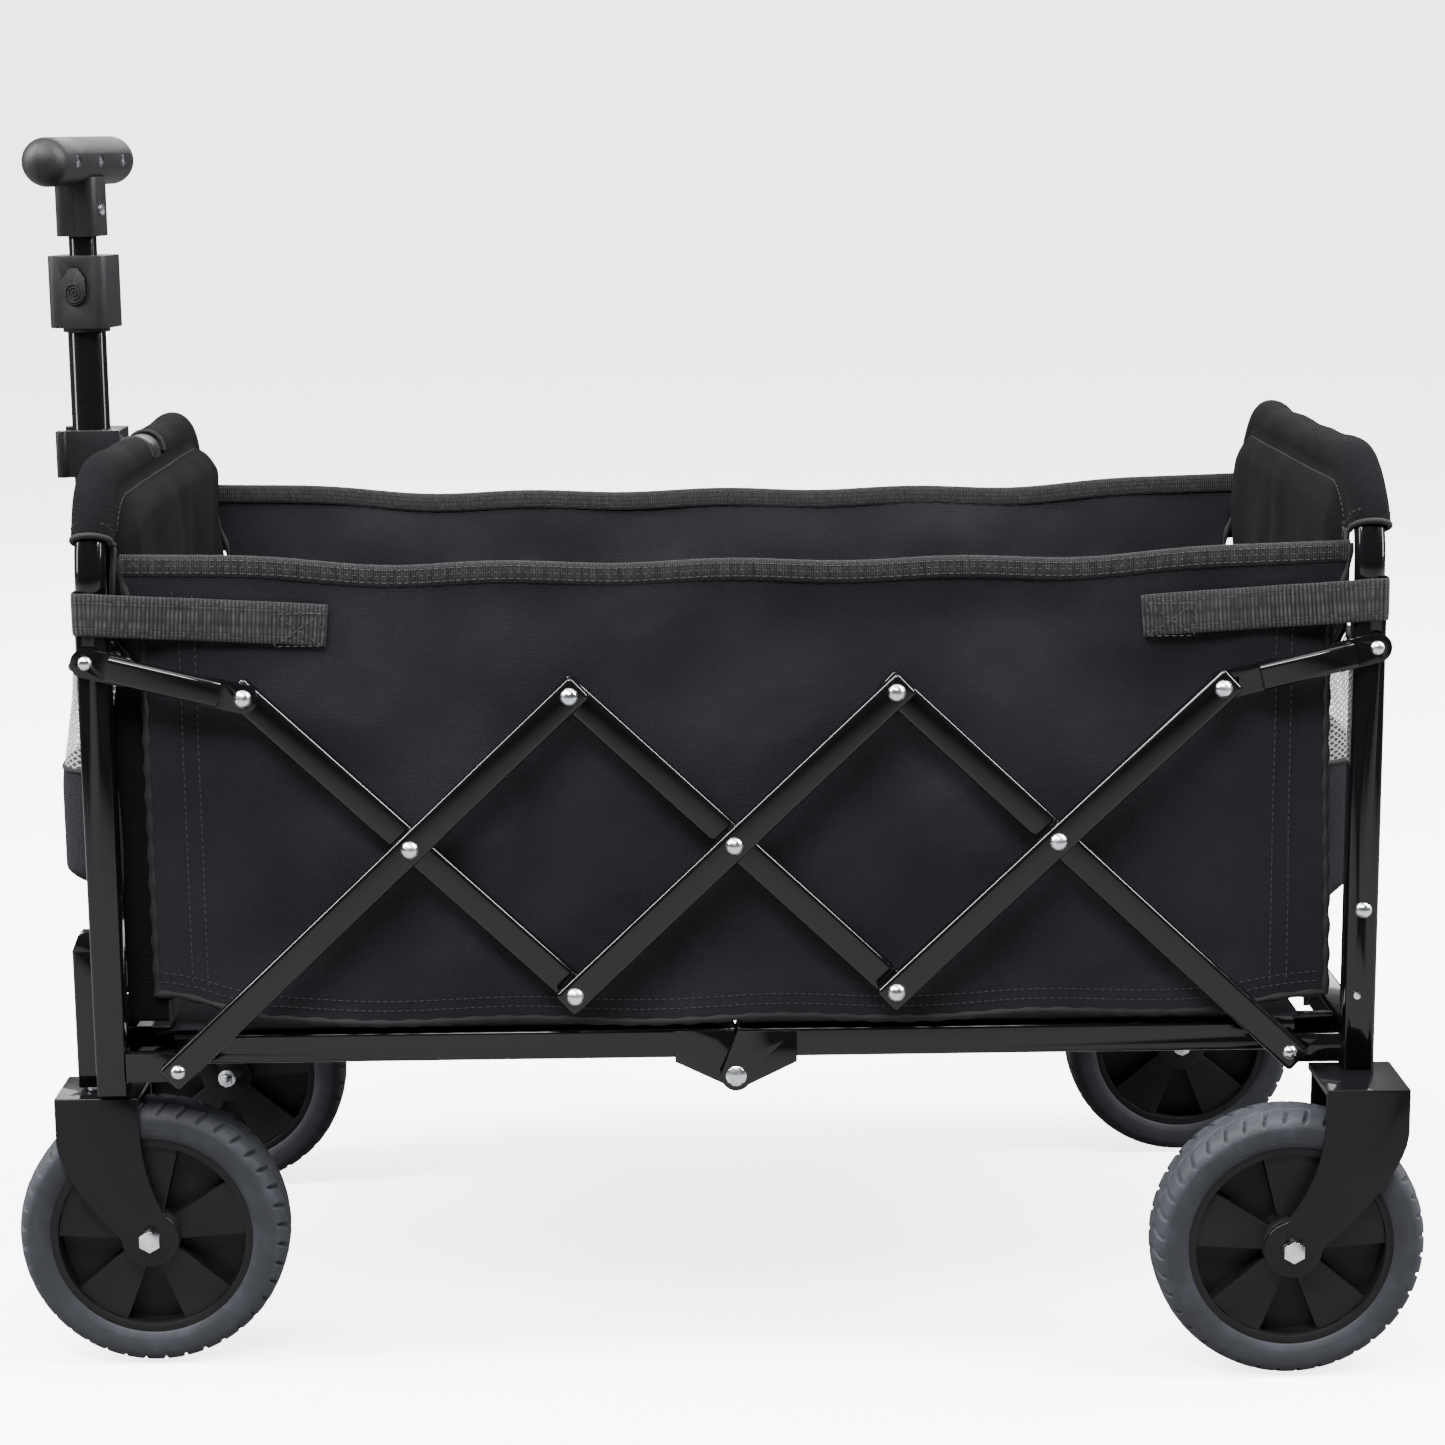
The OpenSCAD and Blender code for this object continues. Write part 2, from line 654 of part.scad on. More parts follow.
// end panel that hangs inside the legs and folds over the hoop; side is -1 at the front
module end_panel(x, hoop_x, side) {
    over = hoop_z + hoop_d / 2 + 4;
    difference() {
        union() {
            slab(-196, 196) polygon([
                [x, hem_z], [x + side * cloth, hem_z], [x + side * cloth, bin_top_z],
                [x + side * cloth, bin_top_z + 5], [x, bin_top_z + 5]]);
            slab(-140, 140) polygon([
                [x, bin_top_z], [x + side * cloth, bin_top_z],
                [hoop_x - side * 13, over - cloth], [hoop_x + side * 10.4, over - cloth],
                [hoop_x + side * 10.4, over - 38], [hoop_x + side * (10.4 + cloth), over - 38],
                [hoop_x + side * (10.4 + cloth), over], [hoop_x - side * 14, over]]);
        }
        if (side < 0) translate([hoop_x - 20, -24, over - 60]) cube([34, 48, 80]);
    }
}

module front_panel() color("#17171a") end_panel(mid_x - panel_x, mid_x - leg_x, -1);

module rear_panel() color("#17171a") end_panel(mid_x + rear_panel_x, mid_x + leg_x, 1);

module side_panel() slab(side_y, side_y + cloth) polygon([
    [mid_x - panel_x + 1, hem_z + 14], [mid_x - 120, hem_z], [mid_x + 120, hem_z],
    [mid_x + rear_panel_x - 1, hem_z + 14], [mid_x + rear_panel_x - 1, bin_top_z + 5],
    [mid_x + 150, bin_top_z - 5], [mid_x - 150, bin_top_z - 5], [mid_x - panel_x + 1, bin_top_z + 5]]);

module side_panel_right() color("#17171a") side_panel();

module side_panel_left() color("#17171a") left() side_panel();

// pocket open at its top, sewn to an end panel; the back is the panel itself
module pocket(x, side, depth, y0, y1, z0, z1) difference() {
    translate([min(x, x + side * depth), y0, z0]) cube([depth, y1 - y0, z1 - z0]);
    translate([min(x - side, x + side * (depth - 2.5)), y0 + 2.5, z0 + 2.5])
        cube([depth - 1.5, y1 - y0 - 5, z1 - z0]);
}

module front_pocket() color("#17171a") both_sides()
    pocket(mid_x - panel_x - cloth - 0.3, -1, 64, 24, 160, 312, 462);

module rear_pocket() color("#17171a")
    pocket(mid_x + rear_panel_x + cloth + 0.3, 1, 36, -170, 170, 300, 470);

// webbing strap round the outside of a leg and along the side panel
module strap(x_leg, x_end, side) {
    y = side_y + cloth + 0.4;
    translate([0, 0, 492]) linear_extrude(strap_w) polygon([
        [x_leg + side * 11.6, leg_in + 4], [x_leg + side * 10.3, leg_in + 4], [x_leg + side * 10.3, leg_y + 0.4],
        [x_leg - side * 12, leg_y + 0.4], [x_leg - side * 60, y], [x_end, y], [x_end, y + 1.8],
        [x_leg - side * 60, y + 1.8], [x_leg - side * 11, leg_y + 2.2], [x_leg + side * 11.6, leg_y + 2.2]]);
}

module front_straps() color("#202022") both_sides() strap(mid_x - leg_x, mid_x - 258, -1);

module rear_straps() color("#202022") both_sides() strap(mid_x + leg_x, mid_x + 262, 1);

front_hoop();
front_leg_left();
front_leg_right();
front_crossbar();
caster_housings();
handle_bracket();
handle_clip();
front_fasteners();
front_panel();
front_pocket();
side_panel_left();
side_panel_right();
front_straps();
handle_lug();
handle_outer_tube();
handle_collar();
release_button();
handle_inner_tube();
grip_shell_front();
grip_shell_back();
grip_screws();
caster_fork_left();
caster_fork_right();
front_axle_left();
front_axle_right();
wheel_hub_front_left();
wheel_hub_front_right();
wheel_hub_rear_left();
wheel_hub_rear_right();
tyre_front_left();
tyre_front_right();
tyre_rear_left();
tyre_rear_right();
front_rails();
rear_rails();
rail_pins();
floor_front();
floor_rear();
rear_hoop();
rear_leg_left();
rear_leg_right();
rear_crossbar();
rear_forks();
rear_axles();
rear_rivets();
rear_panel();
rear_pocket();
rear_straps();
bars_a1();
bars_b1();
bars_a2();
bars_b2();
bars_a3();
bars_b3();
rivets_a1();
rivets_b1();
rivets_a2();
rivets_a3();
front_links();
rear_links();
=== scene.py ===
"""Looks of the folding utility wagon: cloth bin, scissor frame, wheels and pull handle."""
import json
import math

import bmesh
import bpy
import numpy as np
from mathutils import Matrix, Vector

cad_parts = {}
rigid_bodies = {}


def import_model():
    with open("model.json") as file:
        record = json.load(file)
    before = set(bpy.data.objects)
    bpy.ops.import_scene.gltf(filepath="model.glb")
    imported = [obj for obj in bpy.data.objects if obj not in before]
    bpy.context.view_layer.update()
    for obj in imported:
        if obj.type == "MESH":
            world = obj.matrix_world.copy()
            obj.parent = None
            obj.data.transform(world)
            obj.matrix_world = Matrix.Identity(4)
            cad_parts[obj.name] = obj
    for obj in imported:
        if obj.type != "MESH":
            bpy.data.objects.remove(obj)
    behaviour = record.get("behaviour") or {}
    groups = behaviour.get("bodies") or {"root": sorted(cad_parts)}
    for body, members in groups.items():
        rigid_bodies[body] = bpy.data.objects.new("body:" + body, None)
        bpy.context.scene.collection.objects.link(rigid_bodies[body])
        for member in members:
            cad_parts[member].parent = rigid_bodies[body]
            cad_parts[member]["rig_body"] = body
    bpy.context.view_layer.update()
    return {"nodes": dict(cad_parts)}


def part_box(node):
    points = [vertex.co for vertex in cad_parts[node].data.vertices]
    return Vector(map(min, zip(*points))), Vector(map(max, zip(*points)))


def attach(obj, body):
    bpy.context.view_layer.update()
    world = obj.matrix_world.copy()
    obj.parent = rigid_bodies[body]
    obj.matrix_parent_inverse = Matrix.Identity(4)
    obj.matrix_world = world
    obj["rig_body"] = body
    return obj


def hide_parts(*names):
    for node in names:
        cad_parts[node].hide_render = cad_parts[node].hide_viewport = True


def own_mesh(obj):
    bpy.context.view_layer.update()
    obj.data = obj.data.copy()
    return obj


bl_info = {
    "name": "Folding Wagon",
    "version": (1, 0, 0),
    "blender": (4, 5, 0),
    "location": "3D View > Sidebar > Wagon",
    "description": "Builds the visible pieces of a folding wagon around its frame",
    "category": "Object",
}

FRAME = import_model()
SIDES = (("left", -1), ("right", 1))
ENDS = (("front", -1), ("rear", 1))


def centre(node):
    """Middle of a frame node's box."""
    lo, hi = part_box(node)
    return np.array((lo + hi) / 2)


# ------------------------------------------------------------------ settings


class WagonSizes(bpy.types.PropertyGroup):
    """Sizes that a maker would change."""

    edge: bpy.props.FloatProperty(
        name="Edge rounding", description="Rounding of tube and sheet edges",
        default=0.0009, min=0.0002, max=0.003, unit="LENGTH")
    bar_round: bpy.props.FloatProperty(
        name="Bar rounding", description="Rounding along the scissor bars",
        default=0.0031, min=0.001, max=0.0045, unit="LENGTH")
    tread_blocks: bpy.props.IntProperty(
        name="Tread blocks", description="Blocks around a tyre", default=40, min=16, max=60)
    tread_depth: bpy.props.FloatProperty(
        name="Tread depth", description="Depth of the tread grooves",
        default=0.0034, min=0.001, max=0.006, unit="LENGTH")
    cloth: bpy.props.FloatProperty(
        name="Cloth thickness", description="Thickness of the bin's cloth",
        default=0.0014, min=0.0006, max=0.003, unit="LENGTH")
    wrinkle: bpy.props.FloatProperty(
        name="Wrinkles", description="Height of the wrinkles in the bin's cloth",
        default=0.0021, min=0.0, max=0.006, unit="LENGTH")
    webbing: bpy.props.FloatProperty(
        name="Webbing thickness", description="Thickness of the straps",
        default=0.0019, min=0.001, max=0.004, unit="LENGTH")


class WagonColours(bpy.types.PropertyGroup):
    """Colours that a maker would change."""

    steel: bpy.props.FloatVectorProperty(
        name="Powder coat", description="Paint on the tubes", subtype="COLOR",
        default=(0.0018, 0.0018, 0.0022), min=0, max=1)
    cloth: bpy.props.FloatVectorProperty(
        name="Cloth", description="Cloth of the bin", subtype="COLOR",
        default=(0.0098, 0.0098, 0.0116), min=0, max=1)
    webbing: bpy.props.FloatVectorProperty(
        name="Webbing", description="Straps and binding tape", subtype="COLOR",
        default=(0.0115, 0.0115, 0.0125), min=0, max=1)
    mesh: bpy.props.FloatVectorProperty(
        name="Net", description="Net on the pockets", subtype="COLOR",
        default=(0.24, 0.24, 0.245), min=0, max=1)
    plastic: bpy.props.FloatVectorProperty(
        name="Plastic", description="Grip, collar and hubs", subtype="COLOR",
        default=(0.0068, 0.0068, 0.0078), min=0, max=1)
    rubber: bpy.props.FloatVectorProperty(
        name="Rubber", description="Tyres", subtype="COLOR",
        default=(0.0135, 0.0145, 0.0185), min=0, max=1)
    zinc: bpy.props.FloatVectorProperty(
        name="Zinc", description="Rivets and bolts", subtype="COLOR",
        default=(0.72, 0.74, 0.77), min=0, max=1)


def sizes():
    return bpy.context.scene.wagon_sizes


def colours():
    return bpy.context.scene.wagon_colours


# ------------------------------------------------------------------ shader maths


class Val:
    """A shader socket that takes part in sums as a number does."""

    def __init__(self, look, socket):
        self.look, self.socket = look, socket

    def _math(self, operation, *others):
        inputs = dict(enumerate((self, *others)))
        return self.look.node("ShaderNodeMath", {"operation": operation}, inputs)

    def __add__(self, other):
        return self._math("ADD", other)

    def __mul__(self, other):
        return self._math("MULTIPLY", other)

    def __sub__(self, other):
        return self._math("SUBTRACT", other)

    def __rsub__(self, other):
        return (self * -1) + other

    def __truediv__(self, other):
        return self._math("DIVIDE", other)

    def __pow__(self, other):
        return self._math("POWER", other)

    __radd__, __rmul__ = __add__, __mul__

    def sin(self):
        return self._math("SINE")

    def abs(self):
        return self._math("ABSOLUTE")

    def fract(self):
        return self._math("FRACT")

    def floor(self):
        return self._math("FLOOR")

    def max(self, other):
        return self._math("MAXIMUM", other)

    def min(self, other):
        return self._math("MINIMUM", other)

    def ramp(self, lo, hi):
        """0 below lo, 1 above hi and smooth between them."""
        return self.look.node(
            "ShaderNodeMapRange", {"interpolation_type": "SMOOTHSTEP"},
            {"Value": self, "From Min": lo, "From Max": hi, "To Min": 0.0, "To Max": 1.0})


class Look:
    """One material, made of nodes."""

    def __init__(self, name, colour, roughness, **fixed):
        self.mat = bpy.data.materials.new(name)
        self.mat.use_nodes = True
        self.nodes, self.links = self.mat.node_tree.nodes, self.mat.node_tree.links
        self.shader = self.nodes["Principled BSDF"]
        self.set(Base_Color=(*colour, 1.0), Roughness=roughness, **fixed)

    def node(self, kind, settings=None, values=None, out=0):
        """Adds a node: its settings first, then its sockets' values or links."""
        node = self.nodes.new(kind)
        for key, value in (settings or {}).items():
            setattr(node, key, value)
        for key, value in (values or {}).items():
            self.put(node.inputs[key], value)
        return Val(self, node.outputs[out])

    def put(self, socket, value):
        if isinstance(value, Val):
            self.links.new(value.socket, socket)
        else:
            socket.default_value = value

    def set(self, **values):
        for key, value in values.items():
            self.put(self.shader.inputs[key.replace("_", " ")], value)
        return self

    def at(self, where="Object"):
        """Object or UV coordinates."""
        kind = {"Object": 3, "UV": 2}[where]
        return self.node("ShaderNodeTexCoord", out=kind)

    def xyz(self, where="Object"):
        split = self.nodes.new("ShaderNodeSeparateXYZ")
        self.links.new(self.at(where).socket, split.inputs[0])
        return [Val(self, o) for o in split.outputs]

    def noise(self, scale, detail=2.0, where="Object", rough=0.5):
        return self.node("ShaderNodeTexNoise", {}, {
            "Vector": self.at(where), "Scale": scale, "Detail": detail, "Roughness": rough})

    def mix(self, factor, low, high):
        """Colour between low and high."""
        node = self.nodes.new("ShaderNodeMix")
        node.data_type = "RGBA"
        self.put(node.inputs[0], factor)
        self.put(node.inputs[6], low if isinstance(low, Val) else (*low, 1.0))
        self.put(node.inputs[7], high if isinstance(high, Val) else (*high, 1.0))
        return Val(self, node.outputs[2])

    def bump(self, height, distance, strength=1.0):
        """Height in 0..1 raised by distance in metres."""
        normal = self.node("ShaderNodeBump", {},
                           {"Height": height, "Distance": distance, "Strength": strength})
        return self.set(Normal=normal)


def shade(colour, factor):
    return tuple(min(1.0, c * factor) for c in colour)


def powder_coat(name, colour, roughness, coat):
    """Sprayed paint: fine orange peel, faint scuffs and dust."""
    look = Look(name, colour, roughness, Coat_Weight=coat, Coat_Roughness=0.05,
                Specular_IOR_Level=0.08)
    scuff = look.noise(38, 5, rough=0.65).ramp(0.56, 0.74)
    look.set(Roughness=roughness + scuff * 0.10 + look.noise(9, 3) * 0.05,
             Base_Color=look.mix(look.noise(14, 4).ramp(0.45, 0.8) * 0.6 + scuff * 0.3,
                                 colour, shade(colour, 1.7)))
    return look.bump(look.noise(420, 2) * 0.7 + look.noise(90, 2) * 0.6, 0.00022, 0.35)


def zinc_plate():
    """Plated steel with fine turning marks and cloudy patches."""
    c = colours().zinc
    look = Look("zinc_plate", c, 0.22, Metallic=1.0)
    cloud = look.noise(160, 4, rough=0.6)
    look.set(Roughness=cloud.ramp(0.3, 0.75) * 0.22 + 0.14,
             Base_Color=look.mix(cloud.ramp(0.35, 0.7), shade(c, 0.78), c))
    return look.bump(look.noise(900, 3), 0.00012, 0.4)


def moulded(name, colour, roughness, grain=650):
    """Moulded plastic with a fine leather grain, polished where hands rub it."""
    look = Look(name, colour, roughness, Specular_IOR_Level=0.2)
    rub = look.noise(24, 4, rough=0.6)
    look.set(Roughness=roughness - rub.ramp(0.5, 0.8) * 0.12 + look.noise(200, 3) * 0.08,
             Base_Color=look.mix(rub.ramp(0.4, 0.8), colour, shade(colour, 1.5)))
    cells = look.node("ShaderNodeTexVoronoi", {"feature": "DISTANCE_TO_EDGE"},
                      {"Vector": look.at(), "Scale": grain})
    return look.bump(cells.ramp(0.0, 0.4) * 0.7 + look.noise(1400, 2) * 0.4, 0.00016, 0.5)


def tyre_rubber():
    """Foamed rubber: matt, with grey dust in its low places and fine moulding rings."""
    c = colours().rubber
    look = Look("tyre_rubber", c, 0.72, Specular_IOR_Level=0.30)
    dust = look.noise(55, 6, rough=0.7)
    rings = (look.xyz("UV")[1] * 2900).sin() * 0.5 + 0.5
    look.set(Roughness=dust * 0.2 + 0.6,
             Base_Color=look.mix(dust.ramp(0.42, 0.78), c, shade(c, 1.75)))
    return look.bump(look.noise(1100, 3) * 0.6 + rings * 0.10 + dust * 0.5, 0.0003, 0.5)


def woven(name, colour, pitch):
    """Oxford cloth: plain weave of thick yarns, over and under in turn, with slubs and dust.

    UV is in metres. Height of a warp yarn is a half sine across it, and yarns swap by cell."""
    look = Look(name, colour, 0.88, Sheen_Weight=0.01, Sheen_Roughness=0.4, Specular_IOR_Level=0.03)
    u, v, _ = look.xyz("UV")
    slub = look.noise(260, 3, "UV")
    a, b = u / pitch + slub * 0.35, v / pitch + slub * 0.3
    warp, weft = (a * math.pi).sin().abs(), (b * math.pi).sin().abs()
    turn = ((a.floor() + b.floor()) * 0.5).fract() * 2
    weave = (warp * turn).max(weft * (1 - turn))
    cloud = look.noise(7, 5, "UV", 0.6)
    fuzz = look.noise(900, 2, "UV")
    tone = weave * 0.42 + fuzz.ramp(0.35, 0.75) * 0.34 + cloud.ramp(0.35, 0.75) * 0.32
    look.set(Base_Color=look.mix(tone, shade(colour, 0.55), shade(colour, 1.95)),
             Roughness=weave * 0.10 + 0.80)
    return look.bump(weave * 0.8 + slub * 0.5 + fuzz * 0.25, 0.00035, 0.75)


def ribbed(name, colour, rib, cross):
    """Webbing: ribs across its length with bright float yarns along it. UV is in metres."""
    look = Look(name, colour, 0.78, Sheen_Weight=0.03, Sheen_Roughness=0.4, Specular_IOR_Level=0.2)
    u, v, _ = look.xyz("UV")
    wobble = look.noise(120, 3, "UV")
    ribs = ((u / rib + wobble * 0.3) * math.pi).sin().abs()
    rows = ((v / cross + wobble * 0.2) * math.pi).sin().abs()
    pick = look.node("ShaderNodeTexWhiteNoise", {"noise_dimensions": "2D"}, {"Vector": look.node(
        "ShaderNodeCombineXYZ", {}, {0: (u / rib).floor(), 1: (v / cross).floor()})})
    tone = ribs ** 1.5 * (rows * 0.55 + 0.45) * (pick * 0.75 + 0.35)
    look.set(Base_Color=look.mix(tone, shade(colour, 0.28), shade(colour, 2.5)))
    return look.bump(ribs * 0.75 + rows * ribs * 0.4, 0.0006, 0.9)


def thread(name, colour):
    """Sewing thread: twisted plies."""
    look = Look(name, colour, 0.6, Sheen_Weight=0.05, Specular_IOR_Level=0.25)
    x, y, z = look.xyz()
    twist = ((x + z) * 5200 + y * 3000).sin() * 0.5 + 0.5
    look.set(Base_Color=look.mix(twist, shade(colour, 0.6), shade(colour, 1.5)))
    return look.bump(twist, 0.0001, 0.5)


def netting():
    """Pocket net: light threads in a diamond grid with holes between them. UV is in metres."""
    c = colours().mesh
    look = Look("pocket_net", c, 0.7)
    u, v, _ = look.xyz("UV")
    p, q = (u + v) / 0.0042, (u - v) / 0.0042
    line = ((p * math.pi).sin().abs()).min((q * math.pi).sin().abs())
    yarn = 1 - line.ramp(0.30, 0.48)
    look.set(Base_Color=look.mix(look.noise(700, 3, "UV"), shade(c, 0.5), shade(c, 1.4)),
             Alpha=yarn * 0.9 + 0.1)
    return look.bump(yarn, 0.0004, 0.6)


def seen(look):
    """1 for what the camera sees directly, 0 in reflections and bounced light."""
    return look.node("ShaderNodeLightPath")


def floor_paper():
    """White studio paper: bright to the eye, and dimmer in the object's gloss."""
    look = Look("floor_paper", (0.9, 0.9, 0.9), 0.9, Specular_IOR_Level=0.0, Emission_Strength=1.0)
    look.set(Base_Color=look.mix(seen(look), (0.20, 0.20, 0.20), (0.9, 0.9, 0.9)),
             Emission_Color=look.mix(seen(look), (0, 0, 0), (PAPER_GLOW,) * 3))
    return look


# how much the studio paper and the backdrop shine by themselves
PAPER_GLOW = 3.7
BACKDROP = 3.9
AIR_LIGHT = 0.16

LOOKS = {}


def look(name):
    """The material called name, made once."""
    if name not in LOOKS:
        c = colours()
        makers = {
            "gloss_paint": lambda: powder_coat("gloss_paint", c.steel, 0.15, 0.55),
            "satin_paint": lambda: powder_coat("satin_paint", shade(c.steel, 1.3), 0.34, 0.25),
            "zinc_plate": zinc_plate,
            "grip_plastic": lambda: moulded("grip_plastic", c.plastic, 0.46),
            "clip_plastic": lambda: moulded("clip_plastic", shade(c.plastic, 0.8), 0.30, 900),
            "hub_plastic": lambda: moulded("hub_plastic", shade(c.plastic, 0.55), 0.44, 800),
            "tyre_rubber": tyre_rubber,
            "bin_cloth": lambda: woven("bin_cloth", c.cloth, 0.0011),
            # the bin's cloth darkened to 0.26 for the end panels: painted shade that holds them down under
            # the top and rim lamps
            "end_cloth_painted_shade": lambda: woven("end_cloth_painted_shade", shade(c.cloth, 0.26), 0.0011),
            "binding": lambda: ribbed("binding", shade(c.webbing, 0.8), 0.0016, 0.0012),
            "webbing": lambda: ribbed("webbing", shade(c.webbing, 1.2), 0.0026, 0.0017),
            "thread": lambda: thread("thread", shade(c.webbing, 1.5)),
            "net": netting,
            "floor_paper": floor_paper,
        }
        LOOKS[name] = makers[name]().mat
    return LOOKS[name]


# ------------------------------------------------------------------ mesh tools


def mesh_object(name, verts, faces, material, smooth=True, uv=None):
    """A mesh at the origin. faces is an (n, 4) or (n, 3) array; uv has one pair per vertex."""
    mesh = bpy.data.meshes.new(name)
    mesh.from_pydata(np.asarray(verts, float).tolist(), [], np.asarray(faces).tolist())
    if uv is not None:
        layer = mesh.uv_layers.new(name="UVMap")
        loops = np.zeros(len(mesh.loops), np.int32)
        mesh.loops.foreach_get("vertex_index", loops)
        layer.data.foreach_set("uv", np.asarray(uv, np.float32)[loops].ravel())
    mesh.polygons.foreach_set("use_smooth", np.full(len(mesh.polygons), smooth))
    mesh.materials.append(look(material))
    obj = bpy.data.objects.new(name, mesh)
    bpy.context.scene.collection.objects.link(obj)
    mesh.update()
    return obj


def quads(rows, cols, wrap_rows=False, wrap_cols=False, start=0):
    """Faces of a grid of points stored row by row, closed on itself if asked."""
    r = np.arange(rows if wrap_rows else rows - 1)[:, None]
    c = np.arange(cols if wrap_cols else cols - 1)[None, :]
    r2, c2 = (r + 1) % rows, (c + 1) % cols
    corners = [r * cols + c, r * cols + c2, r2 * cols + c2, r2 * cols + c]
    return np.stack(corners, -1).reshape(-1, 4) + start


def grid_object(name, points, material, uv=None, flip=False, thick=0.0, **wrap):
    """A surface from an array of points (rows, cols, 3); thick adds a closed wall of that depth."""
    rows, cols = points.shape[:2]
    faces = quads(rows, cols, **wrap)
    if flip:
        faces = faces[:, ::-1]
    obj = mesh_object(name, points.reshape(-1, 3), faces, material,
                      uv=None if uv is None else uv.reshape(-1, 2))
    if thick:
        wall = obj.modifiers.new("wall", "SOLIDIFY")
        wall.thickness, wall.offset, wall.use_even_offset = thick, 0.0, False
    return obj


def joined(name, parts, material, smooth=True):
    """One mesh from several (verts, faces) pairs whose faces are quads."""
    verts, faces, count = [], [], 0
    for v, f in parts:
        verts.append(np.asarray(v, float).reshape(-1, 3))
        faces.append(np.asarray(f) + count)
        count += len(verts[-1])
    return mesh_object(name, np.concatenate(verts), np.concatenate(faces), material, smooth)


def round_box(half, radius, steps=5):
    """Box with rounded edges as (verts, faces): each cube point is pulled to the inner box and
    pushed out by radius along its direction, so flats stay flat and edges are round."""
    half = np.asarray(half, float)
    ease = (1 - np.cos(np.linspace(0, math.pi / 2, steps))) if steps > 1 else np.zeros(1)
    t = np.concatenate([-1 + 0.5 * ease, 1 - 0.5 * ease[::-1]])
    a, b = np.meshgrid(t, t, indexing="ij")
    n = len(t)
    verts, faces = [], []
    for axis in range(3):
        for sign in (-1, 1):
            p = np.zeros((n, n, 3))
            p[..., axis] = sign
            p[..., (axis + 1) % 3], p[..., (axis + 2) % 3] = a, b
            f = quads(n, n, start=len(verts) * n * n)
            faces.append(f if sign > 0 else f[:, ::-1])
            verts.append(p.reshape(-1, 3))
    p = np.concatenate(verts)
    # the outer ease half of each side is the rounded corner, the rest is flat
    corner = np.sign(p) * np.clip((np.abs(p) - 0.5) / 0.5, 0, 1)
    inner = np.sign(p) * np.where(np.abs(p) >= 0.5, 1.0, np.abs(p) * 2) * (half - radius)
    length = np.linalg.norm(corner, axis=1, keepdims=True)
    out = inner + radius * corner / np.maximum(length, 1e-9)
    return out, np.concatenate(faces)


def tube_along(path, radius, sides=10):
    """Round tube along points: rings in the plane across the path, (verts, faces) with open ends."""
    path = np.asarray(path, float)
    run = np.gradient(path, axis=0)
    run /= np.linalg.norm(run, axis=1, keepdims=True)
    up = np.array([0.0, 0.0, 1.0]) if abs(run[:, 2]).max() < 0.95 else np.array([0.0, 1.0, 0.0])
    side = np.cross(run, up)
    side /= np.linalg.norm(side, axis=1, keepdims=True)
    lift = np.cross(side, run)
    turn = np.linspace(0, 2 * math.pi, sides, endpoint=False)
    radius = np.broadcast_to(radius, len(path))[:, None, None]
    ring = np.cos(turn)[None, :, None] * side[:, None] + np.sin(turn)[None, :, None] * lift[:, None]
    return (path[:, None] + radius * ring).reshape(-1, 3), quads(len(path), sides, wrap_cols=True)


def stitch_run(path, length=0.0032, gap=0.0016, radius=0.00035):
    """Lock stitches along a line: one low hump of thread for every length, as (verts, faces)."""
    path = np.asarray(path, float)
    step = np.r_[0, np.cumsum(np.linalg.norm(np.diff(path, axis=0), axis=1))]
    count = max(1, int(step[-1] / (length + gap)))
    starts = np.arange(count) * (length + gap)
    t = np.linspace(0, 1, 4)
    s = starts[:, None] + t[None] * length
    p = np.stack([np.interp(s, step, path[:, k]) for k in range(3)], -1)
    turn = np.linspace(0, 2 * math.pi, 5, endpoint=False)
    run = p[:, -1] - p[:, 0]
    run /= np.maximum(np.linalg.norm(run, axis=1, keepdims=True), 1e-9)
    up = np.where(np.abs(run[:, 2:]) > 0.9, [[1.0, 0, 0]], [[0, 0, 1.0]])
    side = np.cross(run, up)
    side /= np.linalg.norm(side, axis=1, keepdims=True)
    lift = np.cross(side, run)
    thin = radius * np.array([0.35, 1, 1, 0.35])
    ring = (np.cos(turn)[None, None, :, None] * side[:, None, None]
            + np.sin(turn)[None, None, :, None] * lift[:, None, None])
    v = p[:, :, None] + thin[None, :, None, None] * ring
    f = quads(4, 5, wrap_cols=True)
    faces = (f[None] + (np.arange(count) * 20)[:, None, None]).reshape(-1, 4)
    return v.reshape(-1, 3), faces


def softened(node, material, width=None, segments=2, angle=35):
    """A copy of a frame node with merged points and rounded edges, in place of the node."""
    source = FRAME["nodes"][node]
    obj = bpy.data.objects.new(node + "_finished", source.data.copy())
    bpy.context.scene.collection.objects.link(obj)
    obj.data.materials.clear()
    obj.data.materials.append(look(material))
    with bpy.context.temp_override(object=obj, active_object=obj, selected_objects=[obj]):
        weld = obj.modifiers.new("weld", "WELD")
        weld.merge_threshold = 0.00001
        bpy.context.view_layer.objects.active = obj
        bpy.ops.object.modifier_apply(modifier="weld")
    bm = bmesh.new()
    bm.from_mesh(obj.data)
    bmesh.ops.dissolve_limit(bm, angle_limit=math.radians(1.0), verts=bm.verts, edges=bm.edges)
    bmesh.ops.recalc_face_normals(bm, faces=bm.faces)
    bm.to_mesh(obj.data)
    bm.free()
    obj.data.polygons.foreach_set("use_smooth", np.full(len(obj.data.polygons), True))
    bevel = obj.modifiers.new("edges", "BEVEL")
    bevel.width, bevel.segments = width or sizes().edge, segments
    bevel.limit_method, bevel.angle_limit = "ANGLE", math.radians(angle)
    bevel.use_clamp_overlap, bevel.harden_normals = True, True
    bevel.miter_outer = "MITER_ARC"
    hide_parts(node)
    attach(obj, source["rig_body"])
    return obj


